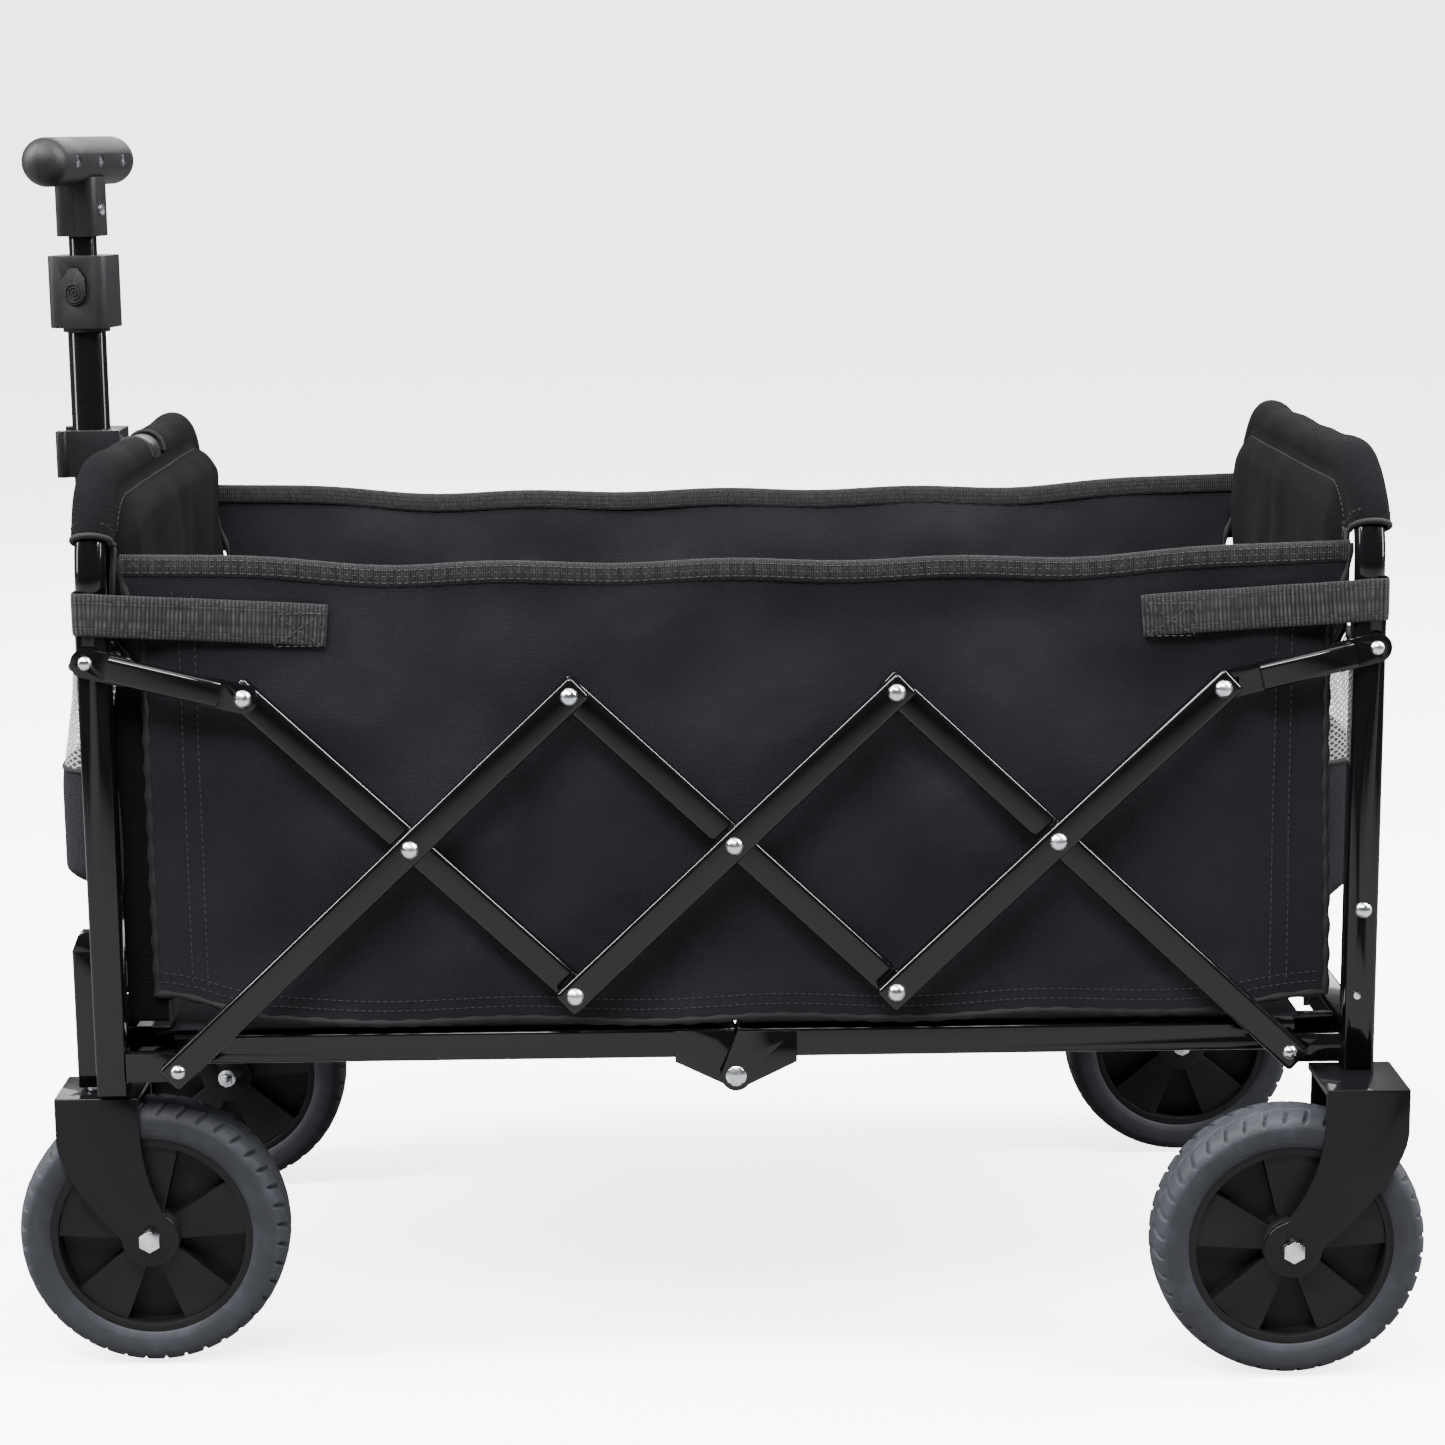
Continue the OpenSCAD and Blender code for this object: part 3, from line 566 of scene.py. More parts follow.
def loose_points_removed(obj):
    """Drops points that no face uses."""
    used = np.zeros(len(obj.data.vertices), bool)
    corners = np.zeros(len(obj.data.loops), np.int32)
    obj.data.loops.foreach_get("vertex_index", corners)
    used[corners] = True
    bm = bmesh.new()
    bm.from_mesh(obj.data)
    bm.verts.ensure_lookup_table()
    bmesh.ops.delete(bm, geom=[bm.verts[i] for i in np.flatnonzero(~used).tolist()], context="VERTS")
    bm.to_mesh(obj.data)
    bm.free()


# ------------------------------------------------------------------ wheels


def tyre_surface(sz):
    """Tyre profile turned round the axle, its shoulders cut by slanting V grooves.

    The profile is a rounded trapezoid; a groove is deepest where the block angle passes through
    zero, and its line slants with the place across the tread."""
    lo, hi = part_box("tyre_front_right")
    r_out, w = (hi.z - lo.z) / 2, (hi.y - lo.y) / 2
    r_in = r_out - 0.0222
    # profile from the inner left edge, over the tread, to the inner right edge
    knots = np.array([
        [r_in - 0.001, -w + 0.006], [r_in, -w + 0.0025], [r_in + 0.004, -w + 0.0006],
        [r_in + 0.0085, -w], [r_out - 0.0085, -w], [r_out - 0.0062, -w + 0.0012],
        [r_out - 0.0045, -w + 0.0018], [r_out - 0.0022, -w + 0.0052], [r_out - 0.0008, -w + 0.010],
        [r_out, -w * 0.35], [r_out, 0]])
    knots = np.concatenate([knots, (knots * [1, -1])[-2::-1]])
    step = np.r_[0, np.cumsum(np.linalg.norm(np.diff(knots, axis=0), axis=1))]
    s = np.linspace(0, step[-1], 64)
    r, y = np.interp(s, step, knots[:, 0]), np.interp(s, step, knots[:, 1])
    around = sz.tread_blocks * 18
    turn = np.linspace(0, 2 * math.pi, around, endpoint=False)
    t, rr = np.meshgrid(turn, r, indexing="ij")
    yy = np.broadcast_to(y, t.shape)
    across = np.abs(yy) / w
    tread = np.clip((rr - (r_out - 0.0058)) / 0.0035, 0, 1)
    phase = t * sz.tread_blocks / (2 * math.pi) + 0.55 * across + 0.5 * (yy > 0)
    near = np.abs((phase + 0.5) % 1 - 0.5)
    groove = np.clip(1 - near / 0.11, 0, 1) ** 0.6 * np.clip((across - 0.30) / 0.08, 0, 1)
    zig = 0.10 * np.abs(((t * sz.tread_blocks / math.pi) % 2) - 1)
    ring = np.exp(-((np.abs(across - 0.24 - zig) / 0.035) ** 2))
    cut = sz.tread_depth * np.maximum(groove, 0.7 * ring) * tread
    lip = 0.0006 * np.exp(-(((rr - (r_out - 0.0066)) / 0.0006) ** 2))
    rr = rr - cut
    yy = yy + np.sign(yy) * (lip - 0.5 * cut * (across > 0.75))
    return np.stack([rr * np.sin(t), yy, rr * np.cos(t)], -1), np.stack(
        [t * r_out, np.broadcast_to(s, t.shape)], -1)


class WAGON_OT_tyres(bpy.types.Operator):
    """Moulded tyres with shoulder blocks"""

    bl_idname = "wagon.tyres"
    bl_label = "Tyres"

    def execute(self, context):
        points, uv = tyre_surface(sizes())
        for end, _ in ENDS:
            for side, _ in SIDES:
                node = f"tyre_{end}_{side}"
                obj = grid_object(f"tyre_{end}_{side}_treaded", points + centre(node), "tyre_rubber",
                                  uv=uv, wrap_rows=True, wrap_cols=True)
                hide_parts(node)
                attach(obj, f"wheel_{end}_{side}")
        return {"FINISHED"}


class WAGON_OT_hubs(bpy.types.Operator):
    """Hubs with wedge spokes, a rolled rim and a stepped boss"""

    bl_idname = "wagon.hubs"
    bl_label = "Hubs"

    def execute(self, context):
        for end, _ in ENDS:
            for side, _ in SIDES:
                softened(f"wheel_hub_{end}_{side}", "hub_plastic", 0.0008, 2, 30)
        return {"FINISHED"}


# ------------------------------------------------------------------ steel


def bar_body(p, q, reach, half_h, y0, y1, radius):
    """Rounded bar from p to q in the X-Z plane, reach past both, as (verts, faces)."""
    d = q - p
    length = np.linalg.norm(d)
    v, f = round_box([length / 2 + reach, (y1 - y0) / 2, half_h], radius, 6)
    c, s = d / length
    x, z = v[:, 0] * c - v[:, 2] * s, v[:, 0] * s + v[:, 2] * c
    mid = (p + q) / 2
    return np.stack([x + mid[0], v[:, 1] + (y0 + y1) / 2, z + mid[1]], -1), f


def mirrored(part):
    """The same (verts, faces) on the other side of the wagon, with faces still outwards."""
    v, f = part
    return v * [1, -1, 1], f[:, ::-1]


# section of a scissor bar: height, thickness, and the slope and corner rounding of its outline
BAR_H, BAR_T = 0.019, 0.010
BAR_SLOPE, BAR_CORNER = math.radians(43.41), 0.004
# how far a bar's box reaches past its end pivots: the square end's corner, less its rounding
BAR_DIAGONAL = math.cos(BAR_SLOPE) + math.sin(BAR_SLOPE)
BAR_INSET = BAR_H / 2 * BAR_DIAGONAL - BAR_CORNER * (BAR_DIAGONAL - 1)


class WAGON_OT_scissor_bars(bpy.types.Operator):
    """Side scissor bars with rounded edges"""

    bl_idname = "wagon.scissor_bars"
    bl_label = "Scissor bars"

    def execute(self, context):
        sz = sizes()
        for node in ("bars_a1", "bars_b1", "bars_a2", "bars_b2", "bars_a3", "bars_b3"):
            lo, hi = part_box(node)
            rising = node[5] == "a"
            low, high = lo.z + BAR_INSET, hi.z - BAR_INSET
            z0, z1 = (low, high) if rising else (high, low)
            p, q = np.array([lo.x + BAR_INSET, z0]), np.array([hi.x - BAR_INSET, z1])
            part = bar_body(p, q, BAR_H / 2, BAR_H / 2, hi.y - BAR_T, hi.y, sz.bar_round)
            obj = joined(node + "_rounded", [part, mirrored(part)], "gloss_paint")
            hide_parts(node)
            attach(obj, "scissor_" + node[-2:])
        return {"FINISHED"}


class WAGON_OT_steelwork(bpy.types.Operator):
    """Painted tubes, legs, rails, forks and links"""

    bl_idname = "wagon.steelwork"
    bl_label = "Steelwork"

    def execute(self, context):
        for node in ("front_leg_left", "front_leg_right", "rear_leg_left", "rear_leg_right",
                     "front_crossbar", "rear_crossbar", "caster_housings", "front_rails", "rear_rails",
                     "front_links", "rear_links", "handle_bracket"):
            softened(node, "gloss_paint", 0.0007)
        for node in ("front_hoop", "rear_hoop", "handle_outer_tube", "handle_inner_tube"):
            softened(node, "gloss_paint", 0.0004)
        for node in ("caster_fork_left", "caster_fork_right", "rear_forks"):
            softened(node, "satin_paint", 0.0011, 3)
        return {"FINISHED"}


class WAGON_OT_fasteners(bpy.types.Operator):
    """Rivets, bolts, screws and caster pins"""

    bl_idname = "wagon.fasteners"
    bl_label = "Fasteners"

    def execute(self, context):
        for node in ("front_fasteners", "rear_rivets", "rivets_a1", "rivets_b1", "rivets_a2",
                     "rivets_a3", "rail_pins", "grip_screws", "front_axle_left", "front_axle_right",
                     "rear_axles"):
            softened(node, "zinc_plate", 0.0003, 2, 40)
        return {"FINISHED"}


class WAGON_OT_handle(bpy.types.Operator):
    """Grip shells, collar, release button and clip"""

    bl_idname = "wagon.handle"
    bl_label = "Pull handle"

    def execute(self, context):
        for node, width in (("grip_shell_front", 0.0007), ("grip_shell_back", 0.0007),
                            ("handle_collar", 0.0012), ("release_button", 0.0003),
                            ("handle_lug", 0.001)):
            softened(node, "grip_plastic", width, 3)
        softened("handle_clip", "clip_plastic", 0.0014, 3)
        return {"FINISHED"}


# ------------------------------------------------------------------ cloth


def smooth(t):
    t = np.clip(t, 0, 1)
    return t * t * (3 - 2 * t)


def ripples(x, z, height):
    """Soft wrinkles in hung cloth: slanting waves that fade in and out, plus low sags."""
    a = np.sin(x * 61 + z * 23 + 1.3) * np.sin(x * 17 - z * 31 + 0.4)
    b = np.sin(x * 29 - z * 47 + 2.1) * np.sin(x * 11 + z * 13 + 0.7)
    c = np.sin(x * 118 + np.sin(z * 40) * 1.5) * np.exp(-((z / 0.30) ** 2))
    return height * (0.55 * a + 0.8 * b + 0.12 * c)


def side_grid(sz, side, cols=230, rows=96):
    """Side panel: a grid over its length and height, bowed a little inwards between its seams.

    The hem dips in the middle and rises at the corners; the top edge sags between the hoops."""
    lo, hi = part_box("side_panel_" + side)
    sign = -1 if side == "left" else 1
    y = max(abs(lo.y), abs(hi.y)) - 0.0012
    u = np.linspace(0, 1, cols)
    v = np.linspace(0, 1, rows)
    mid = 1 - (2 * u - 1) ** 2
    ends = np.abs(2 * u - 1)
    x = lo.x + (hi.x - lo.x) * u
    rise = np.where(u < 0.5, 0.019, 0.007)
    low = lo.z + rise * smooth((ends - 0.80) / 0.2) + 0.0017 * np.sin(x * 37) - 0.004 * mid
    high = hi.z - 0.002 - 0.009 * smooth(mid * 1.35) + 0.0012 * np.sin(x * 43 + 1)
    # the top corners reach out to meet the end panels, and the rear end does so at the hem
    corner = np.sign(2 * u - 1) * smooth((ends - 0.90) / 0.10)
    X = x + corner * (np.where(u > 0.5, 0.004, 0.0) * (1 - smooth(v[:, None] * 1.6))
                      + 0.012 * smooth((v[:, None] - 0.80) / 0.18))
    Z = low + (high - low) * v[:, None]
    edge = smooth(np.minimum(u, 1 - u) / 0.09) * smooth(np.minimum(v, 1 - v)[:, None] / 0.14)
    swell = ripples(X, Z - 0.39, sz.wrinkle) * (0.25 + 0.75 * edge)
    pucker = 0.0007 * np.sin(X * 520 + Z * 40) * np.exp(-((1 - v[:, None]) / 0.06) ** 2)
    Y = y - 0.0016 * edge * (1 + np.sin(X * 9)) + np.clip(swell, -0.0042, 0.0012) + pucker * 0.6
    points = np.stack([X, sign * Y, Z], -1)
    uv = np.stack([X, Z], -1)
    return points, uv


def ribbon(path, across, lift, width, thick):
    """Flat tape along a path with rounded edges: a thin oval ring carried along it."""
    path, across, lift = (np.asarray(a, float) for a in (path, across, lift))
    turn = np.linspace(0, 2 * math.pi, 14, endpoint=False)
    cx, cy = np.cos(turn), np.sin(turn)
    px = np.sign(cx) * np.abs(cx) ** 0.45 * width / 2
    py = np.sign(cy) * np.abs(cy) ** 0.8 * thick / 2
    pts = path[:, None] + px[None, :, None] * across + py[None, :, None] * lift
    return pts


# binding tape on the side panels' top edge: width, thickness and how far its middle sits below it
TAPE_WIDTH, TAPE_THICK, TAPE_DROP = 0.0145, 0.0042, 0.0052


class WAGON_OT_side_panels(bpy.types.Operator):
    """Side panels with their top binding, seams, piping and stitches"""

    bl_idname = "wagon.side_panels"
    bl_label = "Side panels"

    def execute(self, context):
        sz = sizes()
        for side, sign in SIDES:
            points, uv = side_grid(sz, side)
            panel = grid_object(f"side_panel_{side}_cloth", points, "bin_cloth", uv=uv,
                                flip=sign > 0, thick=sz.cloth)
            top = points[-1]
            # top binding: tape folded over the edge
            band = ribbon(top - [0, 0, TAPE_DROP], np.array([0, 0, 1.0]), np.array([0, 1.0, 0]),
                          TAPE_WIDTH, TAPE_THICK)
            s = np.r_[0, np.cumsum(np.linalg.norm(np.diff(top, axis=0), axis=1))]
            buv = np.stack(np.meshgrid(s, np.linspace(0, 0.034, 14), indexing="ij"), -1)
            binding = grid_object(f"side_binding_{side}", band, "binding", uv=buv,
                                  wrap_cols=True, flip=True)
            hem_line = points[0] - [0, 0, -0.001]
            left, right = points[:, 0], points[:, -1]
            piping = joined(f"side_piping_{side}", [
                tube_along(hem_line, 0.0024 + 0.0005 * np.sin(hem_line[:, 0] * 310)),
                *[tube_along(line, 0.0022 + 0.0006 * np.sin(line[:, 2] * 330))
                  for line in (left, right)]], "binding")
            rows = []
            for drop in (0.0012, 0.0052, 0.0094):
                rows.append(stitch_run(top + [0, sign * 0.0021, -drop]))
            for inset in (7, 10):
                for col in (inset, points.shape[1] - 1 - inset):
                    line = points[4:-6, col] + [0, sign * 0.0009, 0]
                    rows.append(stitch_run(line))
            for up in (3, 5):
                rows.append(stitch_run(points[up] + [0, sign * 0.0009, 0]))
            stitches = joined(f"side_stitches_{side}", rows, "thread")
            for obj, slot in ((panel, "bin_cloth"), (binding, "webbing"), (piping, "webbing"),
                              (stitches, "webbing")):
                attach(obj, "front_frame")
            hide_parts("side_panel_" + side)
            for obj in (panel, binding, piping, stitches):
                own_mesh(obj)
        return {"FINISHED"}


def end_profile(end, count=170):
    """Height profile of an end panel in X and Z: up inside the legs, then a sleeve round the hoop.

    Straight runs joined to an arc round the hoop's tube; s is the length along the cloth and
    s_top where the sleeve begins."""
    lo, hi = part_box(end + "_panel")
    hoop_lo, hoop_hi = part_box(end + "_hoop")
    out = -1 if end == "front" else 1
    tube = (hoop_hi.x - hoop_lo.x) / 2
    cx, cz = (hoop_lo.x + hoop_hi.x) / 2, hoop_hi.z - tube
    inner = (hi.x if end == "front" else lo.x) + out * 0.0015
    r = tube + SLEEVE_GAP
    arc = np.linspace(math.radians(205), math.radians(-42), 34)
    # the angle counts from the outward direction, so the arc starts on the inner lower side
    pts = np.concatenate([
        [(inner, lo.z), (inner, lo.z + 0.296), (inner + out * 0.0006, lo.z + 0.304)],
        np.stack([cx + out * r * np.cos(arc), cz + r * np.sin(arc)], -1)])
    step = np.r_[0, np.cumsum(np.linalg.norm(np.diff(pts, axis=0), axis=1))]
    s = np.linspace(0, step[-1], count)
    prof = np.stack([np.interp(s, step, pts[:, 0]), np.interp(s, step, pts[:, 1])], -1)
    return prof, s, step[3], (cx, cz), out


# room between a hoop's tube and its sleeve
SLEEVE_GAP = 0.0026
# half the width of an end panel between the legs
PANEL_HALF = 0.1965
# a hoop's bend radius and half width, and how far round the bend its sleeve goes
HOOP_BEND, HOOP_Y = 0.060, 0.203
SLEEVE_TURN = math.radians(66)
# how far the sleeve swells where its hoop begins to bend
EAR_SWELL = 0.0022
# how far the side edges of an end panel reach out to the legs at the top, and in to the sides below
WING = {"front": 0.0165, "rear": 0.0085}
TUCK = 0.0105
# share of the front panel's half width at which its corner pleats fold back
FOLD_AT = 0.93


def pleat(a):
    """Shares of a corner pleat at a, which is 0 in the middle of the panel and 1 at its edge.

    One eases in up to the fold and out again, and the other eases in past the fold."""
    back = smooth((a - FOLD_AT) / (1 - FOLD_AT))
    return smooth((a - 0.84) / (FOLD_AT - 0.84)) * (1 - back), back


def end_panel_points(sz, end, cols=170):
    """End panel: flat cloth below, blended into a sleeve swept along the hoop's axis above.

    The axis runs straight and then turns through the hoop's bend, so a point at height h above the
    axis lies at h * (sin, cos) of the bend's angle. Below it the side edges swing out to the legs,
    and lower down they swing in to the side panels."""
    prof, s, s_top, (cx, cz), out = end_profile(end)
    t = np.linspace(-1, 1, cols)[None, :]
    px, pz = prof[:, 0][:, None], prof[:, 1][:, None]
    straight = HOOP_Y - HOOP_BEND
    along = np.abs(t) * (straight + HOOP_BEND * SLEEVE_TURN)
    beta = np.clip((along - straight) / HOOP_BEND, 0, None)
    sleeve = (s >= s_top)[:, None]
    height = np.where(sleeve, pz - cz, np.maximum(pz - cz, -0.012))
    y_bend = np.minimum(along, straight) + HOOP_BEND * np.sin(beta) + height * np.sin(beta)
    z_bend = cz - HOOP_BEND * (1 - np.cos(beta)) + height * np.cos(beta)
    lean = np.where(sleeve, 1.0, smooth((pz - 0.485) / (cz - 0.010 - 0.485)))
    flat_y = np.clip(t / (FOLD_AT if end == "front" else 1), -1, 1) * PANEL_HALF
    Y = flat_y * (1 - lean) + np.sign(t) * y_bend * lean
    Z = pz * (1 - lean) + z_bend * lean
    side = smooth((np.abs(t) - 0.84) / 0.16)
    high = smooth((pz - 0.445) / 0.05)
    pleat_out, pleat_in = pleat(np.abs(t)) if end == "front" else (0, side)
    low = WING[end] * pleat_out - TUCK * pleat_in
    X = px + out * (side * WING[end] * high * (1 - lean ** 5) + low * (1 - high))
    free = smooth((s[:, None] - 0.02) / 0.1) * (1 - 0.7 * lean)
    wave = ripples(Y, Z - 0.4, sz.wrinkle * 1.4)
    pull = 0.0007 * np.sin(Y * 97 + 9 * pz + 2 * np.sin(Y * 23)) * smooth((pz - 0.47) / 0.05)
    pull = pull * (1 - lean)
    X = X + (wave + pull) * free
    # the sleeve is loose cloth: it swells on top, most where the hoop begins to bend
    rx, rz = px - cx, pz - cz
    size = np.sqrt(rx ** 2 + rz ** 2) + 1e-9
    around = np.where(sleeve, smooth((s[:, None] - s_top) / 0.012), 0.0)
    top = smooth(rz / 0.012)
    swell = around * (0.0006 * np.sin(Y * 61 + 30 * s[:, None]) + 0.0009 * top
                      + EAR_SWELL * top * np.exp(-((np.abs(t) - 0.60) / 0.15) ** 2))
    X = X + rx / size * swell * 0.5
    Y = Y + np.sign(t) * np.sin(beta) * rz / size * swell
    Z = Z + np.cos(beta) * rz / size * swell
    points = np.stack([X + 0 * Y, Y, Z], -1)
    uv = np.stack([Y, s[:, None] + 0 * Y], -1)
    return points, uv, s, s_top


class WAGON_OT_end_panels(bpy.types.Operator):
    """End panels whose tops are sleeves round the hoops"""

    bl_idname = "wagon.end_panels"
    bl_label = "End panels"

    def execute(self, context):
        sz = sizes()
        for end, out in ENDS:
            points, uv, s, s_top = end_panel_points(sz, end)
            keep = np.ones(points.shape[:2], bool)
            if end == "front":
                # the clip grips the hoop through a gap in the sleeve
                keep &= ~((np.abs(points[..., 1]) < 0.0225) & (s[:, None] > s_top + 0.004))
            faces = quads(*points.shape[:2])
            faces = faces[keep.reshape(-1)[faces].all(1)]
            if end == "front":
                faces = faces[:, ::-1]
            # the end panels wear the darkened copy of the bin cloth, a painted shade
            panel = mesh_object(f"{end}_panel_cloth", points.reshape(-1, 3), faces, "end_cloth_painted_shade",
                                uv=uv.reshape(-1, 2))
            loose_points_removed(panel)
            wall = panel.modifiers.new("wall", "SOLIDIFY")
            wall.thickness, wall.offset = sz.cloth, 0.0
            wall.use_even_offset = False
            last = points[-1]
            gap = np.abs(last[:, 1]) > (0.0245 if end == "front" else -1)
            runs = [last[gap & (last[:, 1] < 0)], last[gap & (last[:, 1] >= 0)]]
            edges = [int(np.argmin(np.abs(last[:, 1] - y))) for y in (-0.0235, 0.0235)]
            slit = [points[s > s_top + 0.005, c] for c in edges] if end == "front" else []
            hem = joined(f"{end}_panel_hem", [
                tube_along(p, 0.0019, 8)
                for p in (points[:, 0], points[:, -1], *runs, *slit)], "binding")
            lift = np.array([out * 0.0008, 0, 0])
            rows = [stitch_run(points[20:, c] + lift * k) for c in (3, -4) for k in (-1, 1)]
            base = int(np.searchsorted(s, s_top)) - 3
            rows += [stitch_run(points[base - k] - lift * 1.3) for k in (0, 3)]
            rows += [stitch_run(points[base - k] + lift * 1.3) for k in (0, 3)]
            stitches = joined(f"{end}_panel_stitches", rows, "thread")
            body = "front_frame" if end == "front" else "rear_frame"
            for obj, slot in ((panel, "bin_cloth"), (hem, "webbing"), (stitches, "webbing")):
                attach(obj, body)
            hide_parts(end + "_panel")
        return {"FINISHED"}


class WAGON_OT_floor_mats(bpy.types.Operator):
    """Padded floor halves: a face above and one below the middle, each eased down to it at the edges"""

    bl_idname = "wagon.floor_mats"
    bl_label = "Floor mats"

    def execute(self, context):
        for end, _ in ENDS:
            lo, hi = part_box("floor_" + end)
            cols, rows = 90, 100
            u, v = np.linspace(0, 1, cols), np.linspace(0, 1, rows)
            U, V = np.meshgrid(u, v)
            x, y = lo.x + (hi.x - lo.x) * U, lo.y + (hi.y - lo.y) * V
            crown = (smooth(np.minimum(U, 1 - U) / 0.035) * smooth(np.minimum(V, 1 - V) / 0.035)) ** 0.5
            mid = (lo.z + hi.z) / 2
            top = mid + (hi.z - mid) * crown
            low = mid - (mid - lo.z) * crown
            v1 = np.stack([x, y, top], -1).reshape(-1, 3)
            v2 = np.stack([x, y, low], -1).reshape(-1, 3)
            f = quads(rows, cols)
            obj = mesh_object(f"floor_mat_{end}", np.concatenate([v1, v2]),
                              np.concatenate([f, f[:, ::-1] + rows * cols]), "bin_cloth",
                              uv=np.concatenate([v1[:, :2], v2[:, :2]]))
            weld = obj.modifiers.new("weld", "WELD")
            weld.merge_threshold = 0.00002
            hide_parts("floor_" + end)
            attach(obj, "bottom_" + end)
        return {"FINISHED"}


def pocket_points(lo, hi, out, cols, rows=70):
    """Pocket front: a sheet sewn along three sides that bellies out, its mouth held by elastic.

    Depth is depth * (side ease) * (bottom ease), fullest in the lower half."""
    u, v = np.linspace(0, 1, cols)[None, :], np.linspace(0, 1, rows)[:, None]
    depth = (hi.x - lo.x)
    side = np.clip(1 - np.abs(2 * u - 1) ** 9, 0, 1)
    base = np.sin(np.clip(v / 0.13, 0, 1) * math.pi / 2) ** 0.6
    belly = base * (1 - 0.17 * smooth((v - 0.45) / 0.55))
    d = depth * side * belly
    pleat = 0.0016 * np.sin(u * 44 + 2 * np.sin(v * 5)) * smooth((v - 0.55) / 0.45) * side
    x0 = hi.x if out < 0 else lo.x
    X = x0 + out * np.clip(d + pleat, 0.0004, depth - 0.0003)
    Y = lo.y + (hi.y - lo.y) * u + 0 * v
    Z = lo.z + (hi.z - lo.z) * v + 0.004 * np.sin(math.pi * u) * smooth(v) - 0.004
    return np.stack([X, Y, Z + 0 * u], -1)


class WAGON_OT_pockets(bpy.types.Operator):
    """Net-topped pockets on both ends"""

    bl_idname = "wagon.pockets"
    bl_label = "Pockets"

    def execute(self, context):
        sz = sizes()
        for end, out in ENDS:
            lo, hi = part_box(end + "_pocket")
            body = "front_frame" if end == "front" else "rear_frame"
            spans = [(lo.y, -0.024), (0.024, hi.y)] if end == "front" else [(lo.y, hi.y)]
            for k, (y0, y1) in enumerate(spans):
                a, b = Vector((lo.x, y0, lo.z)), Vector((hi.x, y1, hi.z))
                points = pocket_points(a, b, out, cols=90 if end == "rear" else 60)
                rows = points.shape[0]
                cut = int(rows * 0.56)
                middle = points[:, points.shape[1] // 2]
                seam = np.cumsum(np.linalg.norm(np.diff(middle, axis=0), axis=1))
                s = np.r_[0, seam][:, None] + 0 * points[..., 0]
                uv = np.stack([points[..., 1], s], -1)
                flip = out > 0
                low = grid_object(f"{end}_pocket_cloth_{k}", points[:cut + 1], "bin_cloth",
                                  uv=uv[:cut + 1], flip=not flip, thick=sz.cloth)
                net = grid_object(f"{end}_pocket_net_{k}", points[cut:], "net", uv=uv[cut:],
                                  flip=not flip, thick=0.0006)
                mouth = joined(f"{end}_pocket_tape_{k}", [
                    tube_along(points[-1], 0.0030), tube_along(points[cut], 0.0018)], "binding")
                for obj, slot in ((low, "bin_cloth"), (net, "bin_cloth"), (mouth, "webbing")):
                    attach(obj, body)
                if k == 0:
                    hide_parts(end + "_pocket")
        return {"FINISHED"}


# a strap: half the webbing's width, its place on a side panel, its height at the leg, and how far
# it falls to its tip
STRAP_HALF, STRAP_FLAT = 0.0137, 0.0275
STRAP_Y, STRAP_Z, STRAP_FALL = 0.2021, 0.507, 0.0105
# radius of a leg's tube with a little room
LEG_ROUND = 0.0103


def strap_line(cx, tip, out, y_leg):
    """A strap's line seen from above, from behind the leg, round its outer face and along the side
    panel to its tip: straight runs whose corners a sliding average rounds. Returns x, y and the
    length along it."""
    r, y_pan = LEG_ROUND, STRAP_Y
    knots = np.array([
        [cx + out * 0.0035, 0.1925], [cx + out * (r + 0.0006), 0.1935],
        [cx + out * (r + 0.0012), 0.197], [cx + out * (r + 0.0012), y_leg - 0.006],
        [cx + out * (r - 0.0006), y_leg - 0.0008], [cx + out * 0.006, y_leg],
        [cx - out * 0.012, y_leg], [cx - out * 0.034, y_leg - 0.0042],
        [cx - out * 0.058, y_pan + 0.0012], [cx - out * 0.075, y_pan], [tip, y_pan]])
    step = np.r_[0, np.cumsum(np.linalg.norm(np.diff(knots, axis=0), axis=1))]
    s = np.linspace(0, step[-1], 170)
    kernel = np.hanning(9) / np.hanning(9).sum()
    x, y = (np.convolve(np.pad(np.interp(s, step, knots[:, k]), 4, mode="edge"), kernel, "valid")
            for k in (0, 1))
    return x, y, s


def strap_body(path, thick, corners=22):
    """Webbing along a path: a flat oval ring, a power of the cosine and of the sine, carried along
    it and drawn to a point at both ends."""
    run = np.gradient(path, axis=0)
    run /= np.linalg.norm(run, axis=1, keepdims=True)
    lift = np.cross(run, [0, 0, 1.0])
    across = np.cross(lift, run)
    turn = np.linspace(0, 2 * math.pi, corners, endpoint=False)
    px = np.sign(np.cos(turn)) * np.abs(np.cos(turn)) ** 0.35 * STRAP_HALF
    py = np.sign(np.sin(turn)) * np.abs(np.sin(turn)) ** 0.6 * thick / 2
    pts = path[:, None] + px[None, :, None] * across[:, None] + py[None, :, None] * lift[:, None]
    first, last = pts[:1].mean(1, keepdims=True), pts[-1:].mean(1, keepdims=True)
    return np.concatenate([np.repeat(first, corners, 1), pts, np.repeat(last, corners, 1)])


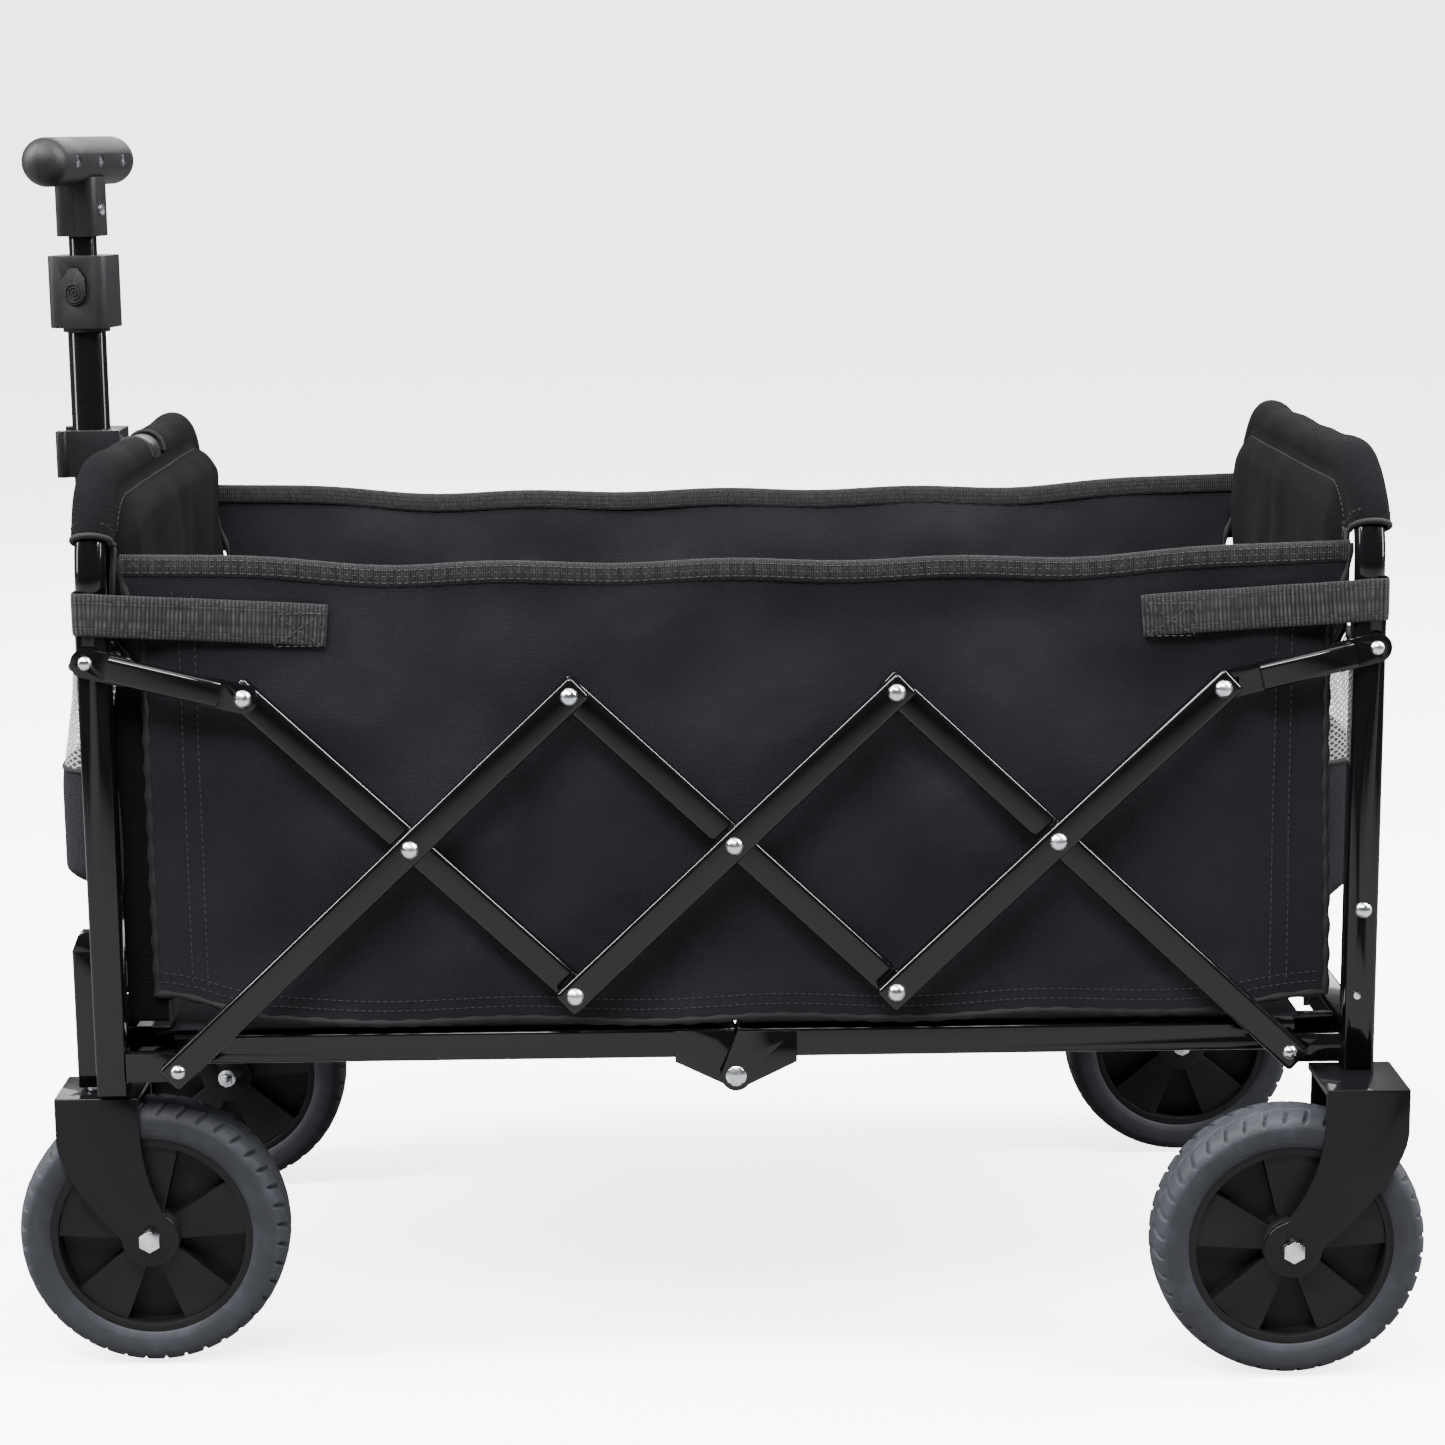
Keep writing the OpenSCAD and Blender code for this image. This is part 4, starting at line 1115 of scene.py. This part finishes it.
class WAGON_OT_straps(bpy.types.Operator):
    """Webbing straps round the legs"""

    bl_idname = "wagon.straps"
    bl_label = "Straps"

    def execute(self, context):
        sz = sizes()
        for end, out in ENDS:
            lo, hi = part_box(end + "_straps")
            body = "front_frame" if end == "front" else "rear_frame"
            tip = hi.x if end == "front" else lo.x
            cx = centre(end + "_hoop")[0]
            x, y, s = strap_line(cx, tip, out, hi.y - 0.0012)
            along = np.clip((x - cx) / (tip - cx), 0, 1)
            z = STRAP_Z - STRAP_FALL * along + 0.0004 * np.sin(s * 45)
            uv = np.stack(np.meshgrid(np.r_[s[0], s, s[-1]], np.linspace(0, 0.056, 22), indexing="ij"), -1)
            # the sewn-on end: a box of stitches with a cross in it
            x0, x1 = tip + out * 0.004, tip + out * 0.034
            z0, z1 = STRAP_Z - 0.0125 - 0.0105, STRAP_Z - 0.0125 + 0.0105
            for side, sign in SIDES:
                pts = strap_body(np.stack([x, sign * y, z], -1), sz.webbing)
                strap = grid_object(f"{end}_strap_{side}", pts, "webbing", uv=uv, wrap_cols=True,
                                    flip=sign > 0)
                weld = strap.modifiers.new("weld", "WELD")
                weld.merge_threshold = 0.00002
                face = sign * (STRAP_Y + sz.webbing / 2 + 0.0002)
                seams = ([[x0, z1], [x1, z1], [x1, z0], [x0, z0], [x0, z1]],
                         [[x0, z1], [x1, z0]], [[x0, z0], [x1, z1]])
                stitches = joined(f"{end}_strap_stitches_{side}", [
                    stitch_run([[px, face, pz] for px, pz in seam]) for seam in seams], "thread")
                for obj in (strap, stitches):
                    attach(obj, body)
                if side == "left":
                    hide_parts(end + "_straps")
                for obj in (strap, stitches):
                    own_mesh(obj)
        return {"FINISHED"}


# ------------------------------------------------------------------ stage


# camera: place, turn about Z, tilt down and roll in degrees
CAMERA_AT = (-0.0164, -2.192, 0.807)
CAMERA_YAW, CAMERA_DOWN, CAMERA_ROLL = -0.70, 10.70, -0.58


class WAGON_OT_stage(bpy.types.Operator):
    """Pale floor, soft lights and the camera"""

    bl_idname = "wagon.stage"
    bl_label = "Stage"

    def execute(self, context):
        scene = bpy.context.scene
        span = np.linspace(-14, 14, 15)
        x, y = np.meshgrid(span, span)
        floor = grid_object("studio_floor", np.stack([x, y, 0 * x], -1), "floor_paper")
        world = bpy.data.worlds.new("studio")
        world.use_nodes = True
        tree = world.node_tree
        air, path = tree.nodes["Background"], tree.nodes.new("ShaderNodeLightPath")
        air.inputs["Color"].default_value = (0.92, 0.96, 1.0, 1)
        reach = tree.nodes.new("ShaderNodeMapRange")
        reach.inputs["To Min"].default_value, reach.inputs["To Max"].default_value = AIR_LIGHT, BACKDROP
        tree.links.new(path.outputs["Is Camera Ray"], reach.inputs["Value"])
        tree.links.new(reach.outputs[0], air.inputs["Strength"])
        scene.world = world
        # each light: name, place, what it looks at, size and power
        for name, place, aim, size, power in (
                ("key", (-0.6, -2.1, 3.1), (0, 0, 0.3), (2.6, 1.0), 300),
                ("top", (0.0, 0.2, 3.3), (0, 0, 0.3), (2.4, 2.2), 95),
                ("rim_left", (-2.4, -0.5, 2.7), (0, 0, 0.4), (0.7, 2.6), 400),
                ("rim_right", (2.4, -0.5, 2.7), (0, 0, 0.4), (0.7, 2.6), 400),
                ("side_left", (-3.4, 0.2, 1.4), (0, 0, 0.4), (0.5, 2.2), 55),
                ("side_right", (3.4, 0.5, 1.4), (0, 0, 0.4), (0.5, 2.2), 55),
                ("back", (0.0, 3.4, 2.2), (0, 0, 0.4), (3.2, 0.8), 80)):
            light = bpy.data.lights.new(name, "AREA")
            light.shape, light.size, light.size_y, light.energy = "RECTANGLE", size[0], size[1], power
            obj = bpy.data.objects.new(name, light)
            obj.location = place
            obj.rotation_euler = (Vector(aim) - Vector(place)).to_track_quat("-Z", "Y").to_euler()
            scene.collection.objects.link(obj)
        lens = bpy.data.cameras.new("camera")
        lens.lens, lens.sensor_width = 78.5, 36
        lens.clip_end = 60
        camera = bpy.data.objects.new("camera", lens)
        camera.matrix_world = (
            Matrix.Translation(CAMERA_AT)
            @ Matrix.Rotation(math.radians(CAMERA_YAW), 4, "Z")
            @ Matrix.Rotation(math.radians(90 - CAMERA_DOWN), 4, "X")
            @ Matrix.Rotation(math.radians(CAMERA_ROLL), 4, "Z"))
        scene.collection.objects.link(camera)
        scene.camera = camera
        return {"FINISHED"}


class WAGON_PT_panel(bpy.types.Panel):
    """Lists the wagon's pieces"""

    bl_label = "Folding Wagon"
    bl_idname = "WAGON_PT_panel"
    bl_space_type = "VIEW_3D"
    bl_region_type = "UI"
    bl_category = "Wagon"

    def draw(self, context):
        for group in (context.scene.wagon_sizes, context.scene.wagon_colours):
            for key in group.__annotations__:
                self.layout.prop(group, key)
        for operator in OPERATORS:
            self.layout.operator(operator.bl_idname)


OPERATORS = (WAGON_OT_stage, WAGON_OT_tyres, WAGON_OT_hubs, WAGON_OT_scissor_bars,
             WAGON_OT_steelwork, WAGON_OT_fasteners, WAGON_OT_handle, WAGON_OT_side_panels,
             WAGON_OT_end_panels, WAGON_OT_floor_mats, WAGON_OT_pockets, WAGON_OT_straps)
CLASSES = (WagonSizes, WagonColours, *OPERATORS, WAGON_PT_panel)


def register():
    for cls in CLASSES:
        bpy.utils.register_class(cls)
    bpy.types.Scene.wagon_sizes = bpy.props.PointerProperty(type=WagonSizes)
    bpy.types.Scene.wagon_colours = bpy.props.PointerProperty(type=WagonColours)


def unregister():
    del bpy.types.Scene.wagon_sizes
    del bpy.types.Scene.wagon_colours
    for cls in reversed(CLASSES):
        bpy.utils.unregister_class(cls)


def main():
    register()
    for operator in OPERATORS:
        group, name = operator.bl_idname.split(".")
        getattr(getattr(bpy.ops, group), name)()


if __name__ == "__main__":
    main()
